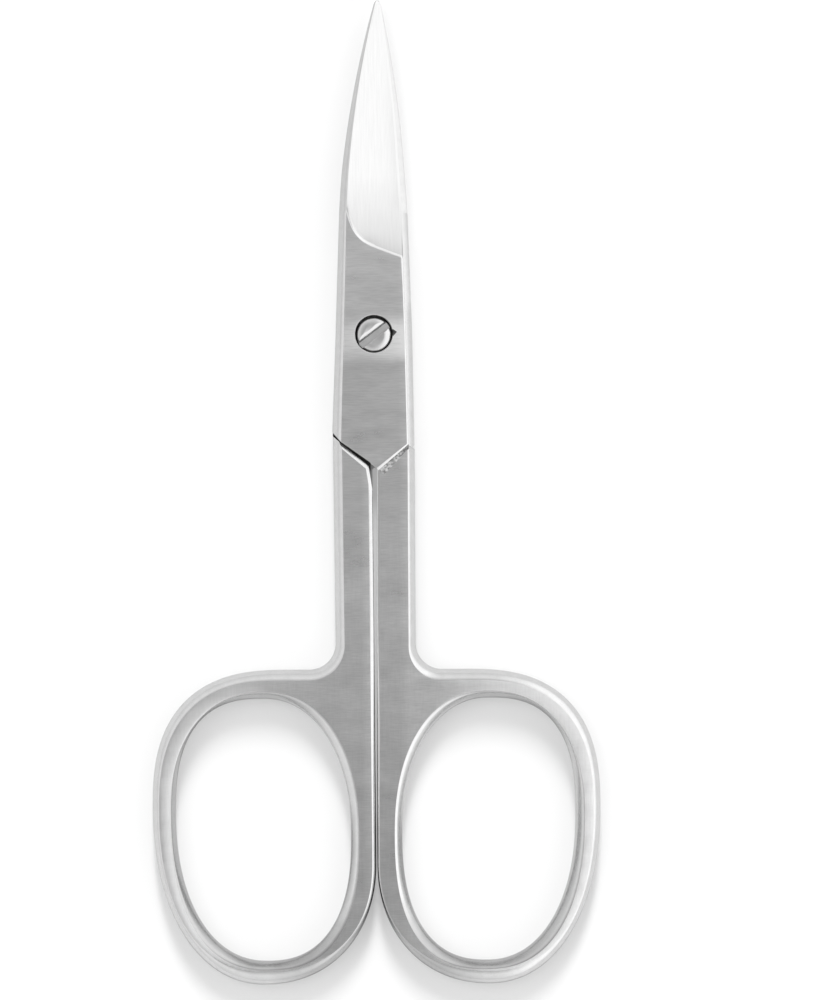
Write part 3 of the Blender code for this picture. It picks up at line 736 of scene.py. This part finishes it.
def lap_material(row, index, top_count, under_start, ground_from):
    """Material of one face: the blade's face and the face between the blades are polished."""
    lead = len(BLOCK_EDGE_PROFILE)
    if index >= under_start:
        return RECESS if row <= VEE_ROWS else POLISHED
    if index >= top_count - 1:
        return EDGE
    across = min(max(index - lead, 0), COLUMNS) / COLUMNS
    if row >= ground_from + RIM_LINE_ROWS + round(RIM_LINE_GROWTH * across ** RIM_LINE_CURVE):
        return POLISHED
    if row == 0 and index < lead + ARM_STEPS:
        return FORGED
    if row < VEE_ROWS or index < lead or row >= ground_from:
        return EDGE
    return BRUSHED


def loft(name, sections, ground_from, materials):
    """Closed body through the sections, which are closed outlines."""
    bm = bmesh.new()
    rings = []
    for top, back, under in sections:
        outline = top + back + under[::-1]
        rings.append([bm.verts.new((x, y, LAP_FLOOR + z)) for x, y, z in outline])
    top_count = len(sections[0][0])
    under_start = top_count + len(sections[0][1])
    total = len(rings[0])
    for row, (near, far) in enumerate(zip(rings, rings[1:])):
        for index in range(total):
            follow = (index + 1) % total
            face = bm.faces.new((near[index], near[follow], far[follow], far[index]))
            face.material_index = lap_material(row, index, top_count, under_start, ground_from)
    lead = len(BLOCK_EDGE_PROFILE)
    for ring in (rings[0], rings[-1]):
        for column in range(COLUMNS):
            upper = lead + column
            lower = total - 1 - column
            face = bm.faces.new((ring[upper], ring[upper + 1], ring[lower - 1], ring[lower]))
            face.material_index = RECESS
        bm.faces.new(ring[:lead + 1] + [ring[-1]]).material_index = RECESS
        bm.faces.new(ring[top_count - 1:under_start + 1]).material_index = RECESS
    return mesh_object(name, bm, materials)


# Cutters

def make_room_cutter(name, half, materials):
    """Room for the other half's block: down to this shoulder, whose rim it chamfers."""
    corner = (SHOULDER_CORNER_X, -VEE_REACH + SHOULDER_CORNER_RISE)
    slope = (corner[1] + half.shoulder_reach) / (corner[0] - half.shoulder_width)
    far_x = half.shoulder_width + CUT_MARGIN * 2
    far_y = corner[1] + slope * (far_x - corner[0])
    near_x = -PIVOT_HALF_WIDTH - CUT_MARGIN
    outline = [(far_x, far_y), corner, (RELIEF_TOP_X, -RELIEF_TOP_REACH)]
    outline += [(0.0, -RELIEF_BOTTOM_REACH), (near_x, -RELIEF_BOTTOM_REACH)]
    outline += [(near_x, CUT_MARGIN), (far_x, CUT_MARGIN)]
    chamfer_top = HANDLE_SETBACK + SHOULDER_CHAMFER_DROP
    flare = SHOULDER_CHAMFER_WIDTH / SHOULDER_CHAMFER_DROP
    bm = bmesh.new()
    rings = []
    for height in (0.0, chamfer_top, LAP_FLOOR):
        shift = max(chamfer_top - height, 0.0) * flare
        rings.append([bm.verts.new((x + shift, y - shift, height)) for x, y in outline])
    add_wall(bm, rings[:2], EDGE)
    add_wall(bm, rings[1:], RECESS)
    add_ends(bm, rings, RECESS)
    return mesh_object(name, bm, materials)


def turned_rings(bm, profile, rise=0.0):
    """Rings of points round an axis."""
    rings = []
    for radius, height in profile:
        ring = []
        for step in range(PIVOT_STEPS):
            angle = 2 * math.pi * step / PIVOT_STEPS
            point = (radius * math.cos(angle), rise + radius * math.sin(angle), height)
            ring.append(bm.verts.new(point))
        rings.append(ring)
    return rings


def make_bore(name, profile, rise, materials):
    """Round cutter with the given radii and heights."""
    bm = bmesh.new()
    rings = turned_rings(bm, profile, rise)
    add_wall(bm, rings[:2], RECESS)
    add_wall(bm, rings[1:], EDGE)
    add_ends(bm, rings, RECESS)
    return mesh_object(name, bm, materials)


def make_punch(name, materials):
    """Pointed pit at the rim of the screw's bore, which would lock the screw."""
    bm = bmesh.new()
    rim = SCREW_HEAD_RADIUS
    side = PUNCH_MARK_LENGTH / 2
    bm.verts.new((rim, 0.0, BLOCK_THICKNESS - PUNCH_MARK_DEPTH))
    for height in (BLOCK_THICKNESS, BLOCK_THICKNESS + CUT_MARGIN):
        for x, y in ((rim, -side), (rim, side), (PUNCH_MARK_REACH, 0.0)):
            bm.verts.new((x, y, height))
    bmesh.ops.convex_hull(bm, input=bm.verts)
    for face in bm.faces:
        face.material_index = RECESS
    punch = mesh_object(name, bm, materials)
    punch.rotation_euler = (0, 0, PUNCH_MARK_ANGLE)
    return punch


def make_slot(name, top, materials):
    """Prism that leaves a rubbed-down lip along one edge of the slot and a small one at the other."""
    bm = bmesh.new()
    side = SLOT_WIDTH / 2
    lip_drop = DISH_DEPTH + SLOT_LIP_DROP
    lip = side + SLOT_LIP_WIDTH * lip_drop / SLOT_LIP_DROP
    near = -side - SLOT_LIP_SMALL
    profile = [(-side, -SLOT_DEPTH), (-side, -DISH_DEPTH - SLOT_LIP_SMALL), (near, -DISH_DEPTH)]
    profile += [(near, CUT_MARGIN), (lip, CUT_MARGIN), (lip, 0.0), (side, -lip_drop)]
    profile.append((side - SLOT_DRAFT, -SLOT_DEPTH))
    ends = []
    for x in (-SCREW_HEAD_RADIUS * 2, SCREW_HEAD_RADIUS * 2):
        ends.append([bm.verts.new((x, y, z)) for y, z in profile])
    add_wall(bm, ends)
    add_ends(bm, ends)
    bm.faces.ensure_lookup_table()
    bm.faces[len(profile) - 2].material_index = SLOT_WALL
    slot = mesh_object(name, bm, materials)
    slot.location = (0, 0, top)
    slot.rotation_euler = (0, 0, SLOT_ANGLE)
    return slot


# Whole pieces

def make_half(name, half, cutters, materials):
    item = make_handle(name, half, materials)
    add_boolean(item, make_room_cutter(f"{name} room", half, materials), "DIFFERENCE")
    add_boolean(item, make_lap(f"{name} lap", half, materials), "UNION")
    for cutter in cutters:
        add_boolean(item, cutter, "DIFFERENCE")
    finish(item)
    return item


def make_screw(name, materials):
    """Turned screw with a dished, slotted head and a shank flush with the rear face."""
    top = BLOCK_THICKNESS - SCREW_HEAD_RECESS
    seat = top - SCREW_HEAD_HEIGHT
    profile = []
    for step in range(1, DISH_STEPS + 1):
        share = step / DISH_STEPS
        profile.append((DISH_RADIUS * share, top - DISH_DEPTH * (1 - share ** 2)))
    profile += [(radius, top - drop) for radius, drop in HEAD_EDGE]
    profile += [(SCREW_HEAD_RADIUS, seat), (SCREW_SHANK_RADIUS, seat)]
    profile += [(SCREW_SHANK_RADIUS, SCREW_END_CHAMFER), (SCREW_SHANK_RADIUS - SCREW_END_CHAMFER, 0.0)]
    bm = bmesh.new()
    rings = turned_rings(bm, profile)
    add_wall(bm, rings)
    for ring, height in ((rings[0], top - DISH_DEPTH), (rings[-1], 0.0)):
        pole = bm.verts.new((0.0, 0.0, height))
        for near, far in zip(ring, ring[1:] + ring[:1]):
            bm.faces.new((near, far, pole))
    item = mesh_object(name, bm, materials)
    add_boolean(item, make_slot("slot", top, materials), "DIFFERENCE")
    finish(item)
    return item


def make_scissors():
    steel = [brushed_steel(), edge_steel("ground steel edge")]
    steel += [edge_steel("finger hole bevel", bevel=True), polished_steel(), forged_steel()]
    steel += [recess_steel("recess steel", RECESS_PAINTED_SHADES)]
    slot_steel = recess_steel("slot steel", SLOT_PAINTED_SHADES)
    head_seat = BLOCK_THICKNESS - SCREW_HEAD_RECESS - SCREW_HEAD_HEIGHT - SCREW_SEAT_CLEARANCE
    shank_bore = SCREW_SHANK_RADIUS + SCREW_SHANK_CLEARANCE
    through = [(shank_bore, MID_PLANE - CUT_MARGIN), (shank_bore, BLOCK_THICKNESS + CUT_MARGIN)]
    lip = BORE_RADIUS + BORE_CHAMFER
    counterbore = [(BORE_RADIUS, head_seat), (BORE_RADIUS, BLOCK_THICKNESS - BORE_CHAMFER)]
    counterbore += [(lip, BLOCK_THICKNESS), (lip, BLOCK_THICKNESS + CUT_MARGIN)]
    cutters = [make_bore("counterbore", counterbore, BORE_RISE, steel)]
    cutters += [make_bore("front bore", through, 0.0, steel), make_punch("punch mark", steel)]
    front = make_half("front_half_finished", FRONT, cutters, steel)
    cutters = [make_bore("rear bore", through, 0.0, steel)]
    rear = make_half("rear_half_finished", REAR, cutters, steel)
    turn = Matrix.Translation((0, 0, BLOCK_THICKNESS * MM)) @ Matrix.Rotation(math.pi, 4, "Y")
    rear.data.transform(turn)
    screw = make_screw("pivot_screw_finished", [screw_steel(), slot_steel])
    rows = ((front, "front", "front_half", "plated_steel"),
            (rear, "rear", "rear_half", "plated_steel"),
            (screw, "rear", "pivot_screw", "screw_steel"))
    for piece, body, node, slot in rows:
        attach(piece, body)
        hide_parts(node)


# Materials

# How fast each pattern changes along the three axes, per millimetre, and its detail
BRUSHING = (0.9, 9.0, 0.9)
PATCHES = (0.25, 0.6, 0.25)
HATCHING = (7.0, 0.7, 0.7)
MOTTLING = (1.2, 1.2, 1.2)
TUMBLING = (3.0, 3.0, 3.0)
POLISHING = (6.0, 0.4, 0.4)
PITTING = (5.0, 5.0, 5.0)
RECESS_MOTTLING = (4.0, 4.0, 4.0)
TURNING = (2.0, 2.0, 2.0)
DETAIL = 3.0
PITTING_DETAIL = 6.0

# Strength of a pattern's relief, and its depth in millimetres
BRUSHING_RELIEF = (0.12, 0.01)
MOTTLING_RELIEF = (0.1, 0.02)
POLISHING_RELIEF = (0.05, 0.01)
PITTING_RELIEF = (0.4, 0.03)

# Range of a pattern's noise, and the ranges of shade and roughness that it is brought to
NOISE = (0.3, 0.7)
PITTING_NOISE = (0.39, 0.61)
BRUSHED_SHADE = 0.78
BRUSHING_CHANGE = (-0.05, 0.05)
HATCHING_CHANGE = (-0.03, 0.03)
PATCH_GAIN = (0.95, 1.05)
PATCH_ROUGHNESS = (0.27, 0.32)
EDGE_SHADES = (0.83, 0.88)
EDGE_ROUGHNESS = (0.2, 0.27)
POLISHED_SHADES = (0.8, 0.84)
POLISHED_ROUGHNESS = (0.12, 0.17)
FORGED_SHADES = (0.21, 0.63)
FORGED_ROUGHNESS = (0.5, 0.38)
# Painted shade: near black in gaps and bores, lighter on the slanted wall of the screw's slot
RECESS_PAINTED_SHADES = (0.06, 0.18)
RECESS_LIGHTEST = 0.8
RECESS_ROUGHNESS = (0.7, 0.5)
SLOT_PAINTED_SHADES = (0.3, 0.45)
SCREW_SHADES = (0.8, 0.86)
SCREW_ROUGHNESS = (0.28, 0.34)

# Band of painted highlight across the block: how far it is below the pivot's axis in
# millimetres, and how much lighter and rougher it is
HIGHLIGHT_BAND_DROP = 0.3
PAINTED_HIGHLIGHT_GAIN = 1.22
HIGHLIGHT_BAND_ROUGHNESS = 0.2

# Zones that a value changes across: start and end in millimetres, value before and after
BOW_SATIN = (5, 13, 0, 0.16)
RIGHT_BOW_SATIN = (6, 11, 0, 0.16)
BRUSHING_FADE = (6, 13, 1, 0.25)
HATCHING_END = (-22, -14, 1, 0)
HIGHLIGHT_BAND = (0.9, 2.4, 1, 0)
HIGHLIGHT_BAND_SIDES = (-3, 3, 0.7, 1.3)
BLOCK_TOP_GAIN = (1, 5, 1, 1.17)
HANDLE_CHANGE = (-46, -24, -0.15, 0)
HANDLE_CHANGE_SIDES = (4, 8, 1, 0)
RIGHT_GAIN = (2.2, 3.1, 1, 1.16)
SLIT_CHANGE = (-1.3, -0.4, 0, 0.2)
SLIT_CHANGE_SIDE = (-0.3, 0.1, 1, 0)
SLIT_CHANGE_END = (-13, -11, 1, 0)
# Painted shade between the bows
DEEP_PAINTED_SHADE = (0.95, 1.4, 0.75, 0)
DEEP_PAINTED_SHADE_SIDES = (1, 4.5, 1, 0)
DEEP_PAINTED_SHADE_END = (-46, -42.5, 1, 0)
FAINT_PAINTED_SHADE = (6, 10, 0.3, 0)
FAINT_PAINTED_SHADE_END = (-55, -51, 1, 0)
# Painted shade on the finger holes' bevels, less on the right bow's outer side
BEVEL_PAINTED_SHADE = (4, 9, 1, 0.72)
RIGHT_BEVEL_GAIN = (13, 18, 1, 1.25)
EDGE_GAIN = (-30, 12, 1, 0.9)
RAISED_RIM = (3.3, 3.48, 0, 1)
BLADE_GAIN = (7.5, 14.5, 0.78, 1.01)
RIDGE_FOOT_GAIN = (2.2, 3, 1, 0.5)
RAW_START = (-9, -8.6, 0, 0.45)
RAW_END = (-5, -3.5, 1, 0)
RAW_SLIT = (0.33, 0.42, 0.7, 0)
RAW_SLIT_END = (-11.9, -11.7, 1, 0)
RAW_HANDLE = (-12.9, -12.25, 0.6, 0)

# Shares of X and Y in the distance square to an arm of the V
VEE_ARM_X = 0.642
VEE_ARM_Y = 0.766


class Nodes:
    """Short way to add nodes to a material or world and to link them."""

    def __init__(self, owner, main="Principled BSDF"):
        owner.use_nodes = True
        self.tree = owner.node_tree
        self.main = self.tree.nodes[main]

    def add(self, kind, settings=(), **inputs):
        node = self.tree.nodes.new(kind)
        for key, value in dict(settings).items():
            setattr(node, key, value)
        for key, value in inputs.items():
            self.set(node, key.replace("_", " "), value)
        return node

    def set(self, node, socket, value):
        target = node.inputs[socket]
        if isinstance(value, bpy.types.NodeSocket):
            self.tree.links.new(value, target)
        else:
            target.default_value = value


def metal(name):
    material = bpy.data.materials.new(name)
    nodes = Nodes(material)
    nodes.set(nodes.main, "Metallic", 1.0)
    return material, nodes


def dress(nodes, shade, roughness):
    nodes.set(nodes.main, "Base Color", grey(nodes, shade))
    nodes.set(nodes.main, "Roughness", roughness)


def emboss(nodes, pattern, strength, depth):
    bump = nodes.add("ShaderNodeBump", Height=pattern, Strength=strength, Distance=depth * MM)
    nodes.set(nodes.main, "Normal", bump.outputs["Normal"])


def axes_of(nodes, space="Object"):
    """Place in the object's own space, or direction in the world, along X, Y and Z."""
    place = nodes.add("ShaderNodeTexCoord").outputs[space]
    return nodes.add("ShaderNodeSeparateXYZ", Vector=place).outputs


def grain(nodes, scale, detail=DETAIL):
    """Noise in the object's own space, stretched by its scale along each axis."""
    place = nodes.add("ShaderNodeTexCoord").outputs["Object"]
    mapping = nodes.add("ShaderNodeMapping", Vector=place,
                        Scale=tuple(value / MM for value in scale))
    noise = nodes.add("ShaderNodeTexNoise", Vector=mapping.outputs["Vector"], Scale=1.0,
                      Detail=detail)
    return noise.outputs["Fac"]


def spread(nodes, value, limits, source=NOISE):
    """Brings a value from the range that it comes in to other limits."""
    node = nodes.add("ShaderNodeMapRange", Value=value, From_Min=source[0], From_Max=source[1],
                     To_Min=limits[0], To_Max=limits[1])
    return node.outputs["Result"]


def zone(nodes, place, span):
    start, end, before, after = span
    return spread(nodes, place, (before, after), (start * MM, end * MM))


def maths(nodes, operation, result, *values):
    """One operation on a value, or with each of several values in turn."""
    for value in values or (0.0,):
        node = nodes.add("ShaderNodeMath", {"operation": operation})
        nodes.set(node, 0, result)
        nodes.set(node, 1, value)
        result = node.outputs[0]
    return result


def product(nodes, *values):
    return maths(nodes, "MULTIPLY", *values)


def total(nodes, *values):
    return maths(nodes, "ADD", *values)


def grey(nodes, value):
    node = nodes.add("ShaderNodeCombineColor", Red=value, Green=value, Blue=value)
    return node.outputs[0]


def brushed_steel():
    """Flat faces: fine brushing, slow patches, painted highlight at the screw, satin on the bows."""
    material, nodes = metal("brushed steel")
    axes = axes_of(nodes)
    aside = maths(nodes, "ABSOLUTE", axes["X"])
    brushing = grain(nodes, BRUSHING)
    fading = zone(nodes, aside, BRUSHING_FADE)
    lines = product(nodes, spread(nodes, brushing, BRUSHING_CHANGE), fading)
    patches = grain(nodes, PATCHES)
    hatching = product(nodes, spread(nodes, grain(nodes, HATCHING), HATCHING_CHANGE),
                       zone(nodes, axes["Y"], HATCHING_END))
    # A band across the block at the screw: painted highlight, and rougher steel
    along = maths(nodes, "ABSOLUTE", total(nodes, axes["Y"], HIGHLIGHT_BAND_DROP * MM))
    highlight_zone = product(nodes, zone(nodes, along, HIGHLIGHT_BAND), zone(nodes, axes["X"], HIGHLIGHT_BAND_SIDES))
    handles = product(nodes, zone(nodes, axes["Y"], HANDLE_CHANGE),
                      zone(nodes, aside, HANDLE_CHANGE_SIDES))
    shade = product(nodes, total(nodes, lines, BRUSHED_SHADE),
                    spread(nodes, patches, PATCH_GAIN), total(nodes, hatching, 1.0),
                    spread(nodes, highlight_zone, (1.0, PAINTED_HIGHLIGHT_GAIN), (0.0, 1.0)), lighter_sides(nodes, axes),
                    zone(nodes, axes["Y"], BLOCK_TOP_GAIN), total(nodes, handles, 1.0))
    satin = total(nodes, zone(nodes, aside, BOW_SATIN), zone(nodes, axes["X"], RIGHT_BOW_SATIN))
    dress(nodes, shade, total(nodes, spread(nodes, patches, PATCH_ROUGHNESS), satin,
                              product(nodes, highlight_zone, HIGHLIGHT_BAND_ROUGHNESS)))
    strength, depth = BRUSHING_RELIEF
    emboss(nodes, brushing, product(nodes, fading, strength), depth)
    return material


def lighter_sides(nodes, axes):
    """The flat faces are lighter on the right, and on the left shank along the slit."""
    slit = product(nodes, zone(nodes, axes["X"], SLIT_CHANGE),
                   zone(nodes, axes["X"], SLIT_CHANGE_SIDE),
                   zone(nodes, axes["Y"], SLIT_CHANGE_END))
    return total(nodes, zone(nodes, axes["X"], RIGHT_GAIN), slit)


def gap_shade(nodes, axes, aside):
    """Painted shade between the bows: deep on the borders that face each other, fainter below."""
    height = maths(nodes, "SUBTRACT", axes["Z"], MID_PLANE * MM)
    deep = product(nodes, zone(nodes, maths(nodes, "ABSOLUTE", height), DEEP_PAINTED_SHADE),
                   zone(nodes, aside, DEEP_PAINTED_SHADE_SIDES), zone(nodes, axes["Y"], DEEP_PAINTED_SHADE_END))
    faint = product(nodes, zone(nodes, aside, FAINT_PAINTED_SHADE),
                    zone(nodes, axes["Y"], FAINT_PAINTED_SHADE_END))
    return maths(nodes, "SUBTRACT", 1.0, maths(nodes, "MAXIMUM", deep, faint))


def edge_steel(name, bevel=False):
    """Ground and tumbled edges, a little mottled. All but the rims darken toward the tips."""
    material, nodes = metal(name)
    axes = axes_of(nodes)
    aside = maths(nodes, "ABSOLUTE", axes["X"])
    mottling = grain(nodes, MOTTLING)
    tone = maths(nodes, "MAXIMUM", zone(nodes, axes["Z"], RAISED_RIM),
                 zone(nodes, axes["Y"], EDGE_GAIN))
    shade = product(nodes, spread(nodes, mottling, EDGE_SHADES),
                    gap_shade(nodes, axes, aside), tone)
    # Painted shade on the finger holes' bevels, where they reflect the shaded floor inside the holes,
    # and less of it on the right bow's outer side
    if bevel:
        shade = product(nodes, shade, zone(nodes, aside, BEVEL_PAINTED_SHADE),
                        zone(nodes, axes["X"], RIGHT_BEVEL_GAIN))
    dress(nodes, shade, spread(nodes, grain(nodes, TUMBLING), EDGE_ROUGHNESS))
    emboss(nodes, mottling, *MOTTLING_RELIEF)
    return material


def polished_steel():
    """Ground face of the blades: fine lines along them under a polish, darker at the block."""
    material, nodes = metal("polished steel")
    lines = grain(nodes, POLISHING)
    shade = product(nodes, spread(nodes, lines, POLISHED_SHADES),
                    zone(nodes, axes_of(nodes)["Y"], BLADE_GAIN))
    dress(nodes, shade, spread(nodes, lines, POLISHED_ROUGHNESS))
    emboss(nodes, lines, *POLISHING_RELIEF)
    return material


def forged_steel():
    """Raw foot of the block's ridge: rough and pitted, and darker at its outer end."""
    material, nodes = metal("forged steel")
    pits = grain(nodes, PITTING, PITTING_DETAIL)
    aside = maths(nodes, "ABSOLUTE", axes_of(nodes)["X"])
    shade = product(nodes, spread(nodes, pits, FORGED_SHADES, PITTING_NOISE),
                    zone(nodes, aside, RIDGE_FOOT_GAIN))
    dress(nodes, shade, spread(nodes, pits, FORGED_ROUGHNESS))
    emboss(nodes, pits, *PITTING_RELIEF)
    return material


def recess_steel(name, shades):
    """Walls and floors of gaps and bores: near-black painted shade at the V and round the screw.

    Between those two, and down in the slit of the shanks, they are raw steel.
    """
    material, nodes = metal(name)
    recess_mottle = grain(nodes, RECESS_MOTTLING)
    axes = axes_of(nodes)
    aside = maths(nodes, "ABSOLUTE", axes["X"])
    from_vee = maths(nodes, "SUBTRACT", product(nodes, axes["Y"], VEE_ARM_Y),
                     product(nodes, aside, VEE_ARM_X))
    raw = product(nodes, zone(nodes, from_vee, RAW_START), zone(nodes, axes["Y"], RAW_END))
    slit = product(nodes, zone(nodes, aside, RAW_SLIT), zone(nodes, axes["Y"], RAW_SLIT_END))
    bare = total(nodes, raw, slit, zone(nodes, axes["Y"], RAW_HANDLE))
    # Dark painted shade, lifted back to bare steel between the V and the screw and in the slit
    shade = total(nodes, spread(nodes, recess_mottle, shades), bare)
    dress(nodes, maths(nodes, "MINIMUM", shade, RECESS_LIGHTEST),
          spread(nodes, recess_mottle, RECESS_ROUGHNESS))
    return material


def screw_steel():
    material, nodes = metal("screw steel")
    turning = grain(nodes, TURNING)
    dress(nodes, spread(nodes, turning, SCREW_SHADES), spread(nodes, turning, SCREW_ROUGHNESS))
    return material


# Studio

FLOOR_SIZE = 3.0
FLOOR_DROP = 0.01 * MM
FLOOR_SHADE = 0.45
FLOOR_SEEN_GLOW = 0.37
FLOOR_SEEN_SHADE = 0.4
KEY_STRENGTH = 0.67
KEY_ELEVATIONS = (31, 35, 39, 43, 48)
KEY_WIDTH = math.radians(9)
FILL_STRENGTH = 0.93
FILL_TURN = (math.radians(-7), math.radians(-22), 0)
FILL_WIDTH = math.radians(40)
ZENITH_RAMP = ((0.0, 0.6), (0.34, 0.78), (0.62, 0.84), (0.8, 0.54), (0.9, 0.4), (1.0, 0.385))
RIGHT_SIDE_GLOW = 1.17
RIGHT_SIDE_START = (("X", 0.08, 0.46), ("Z", -0.05, 0.35))


def make_floor():
    bm = bmesh.new()
    bmesh.ops.create_grid(bm, x_segments=1, y_segments=1, size=FLOOR_SIZE / 2)
    material = bpy.data.materials.new("studio floor")
    nodes = Nodes(material)
    seen = nodes.add("ShaderNodeLightPath").outputs["Is Camera Ray"]
    shade = spread(nodes, seen, (FLOOR_SHADE, FLOOR_SEEN_SHADE), (0.0, 1.0))
    dress(nodes, shade, 1.0)
    nodes.set(nodes.main, "Specular IOR Level", 0.0)
    nodes.set(nodes.main, "Emission Color", (1.0, 1.0, 1.0, 1.0))
    nodes.set(nodes.main, "Emission Strength", product(nodes, seen, FLOOR_SEEN_GLOW))
    floor = mesh_object("floor", bm, [material])
    floor.location = (0, 0, -FLOOR_DROP)


def make_lamp(name, strength, width, turn):
    """Far lamp that lights the floor, and that the steel doesn't reflect."""
    light = bpy.data.lights.new(name, "SUN")
    light.energy = strength
    light.angle = width
    lamp = bpy.data.objects.new(name, light)
    bpy.context.collection.objects.link(lamp)
    lamp.rotation_euler = turn
    lamp.visible_glossy = False


def make_lamps():
    """Tall and narrow light beyond the tips, as a row of lamps, and a wide one on the left."""
    for elevation in KEY_ELEVATIONS:
        turn = (math.radians(elevation) - math.pi / 2, 0, 0)
        make_lamp(f"key {elevation}", KEY_STRENGTH, KEY_WIDTH, turn)
    make_lamp("fill", FILL_STRENGTH, FILL_WIDTH, FILL_TURN)


def blend(nodes, share, first, second):
    node = nodes.add("ShaderNodeMix", {"data_type": "FLOAT"})
    for socket, value in ((0, share), (2, first), (3, second)):
        nodes.set(node, socket, value)
    return node.outputs[0]


def make_world():
    """Pale tent: dimmer overhead, brighter all round, and brightest on the right."""
    world = bpy.data.worlds.new("tent")
    bpy.context.scene.world = world
    nodes = Nodes(world, "Background")
    axes = axes_of(nodes, "Generated")
    ramp_node = nodes.add("ShaderNodeValToRGB", Fac=axes["Z"])
    stops = ramp_node.color_ramp.elements
    while len(stops) < len(ZENITH_RAMP):
        stops.new(1.0)
    for stop, (height, glow) in zip(stops, ZENITH_RAMP):
        stop.position = height
        stop.color = (glow, glow, glow, 1.0)
    shares = []
    for axis, start, full in RIGHT_SIDE_START:
        node = nodes.add("ShaderNodeMapRange", {"interpolation_type": "SMOOTHSTEP"},
                         Value=axes[axis], From_Min=start, From_Max=full)
        shares.append(node.outputs["Result"])
    tent = blend(nodes, product(nodes, *shares), ramp_node.outputs["Color"], RIGHT_SIDE_GLOW)
    seen = nodes.add("ShaderNodeLightPath").outputs["Is Camera Ray"]
    nodes.set(nodes.main, "Color", (1.0, 1.0, 1.0, 1.0))
    nodes.set(nodes.main, "Strength", blend(nodes, seen, tent, 1.0))


# Camera straight above, turned so that the scissors lean as in the photograph

VIEW_HEIGHT = 91.3
VIEW_CENTRE_X = 4.085
VIEW_CENTRE_Y = -15.11
VIEW_LEAN = math.radians(0.32)
CAMERA_DISTANCE = 0.9
SENSOR_SIZE = 36.0


def make_camera():
    data = bpy.data.cameras.new("camera")
    data.sensor_width = SENSOR_SIZE
    distance = CAMERA_DISTANCE - BLOCK_THICKNESS * MM
    data.lens = SENSOR_SIZE * distance / (VIEW_HEIGHT * MM)
    data.clip_start = CAMERA_DISTANCE / 10
    data.clip_end = FLOOR_SIZE * 2
    camera = bpy.data.objects.new("camera", data)
    bpy.context.collection.objects.link(camera)
    camera.location = (VIEW_CENTRE_X * MM, VIEW_CENTRE_Y * MM, CAMERA_DISTANCE)
    camera.rotation_euler = (0, 0, -VIEW_LEAN)
    bpy.context.scene.camera = camera


make_scissors()
make_floor()
make_lamps()
make_world()
make_camera()
bpy.context.scene.view_settings.view_transform = "Standard"
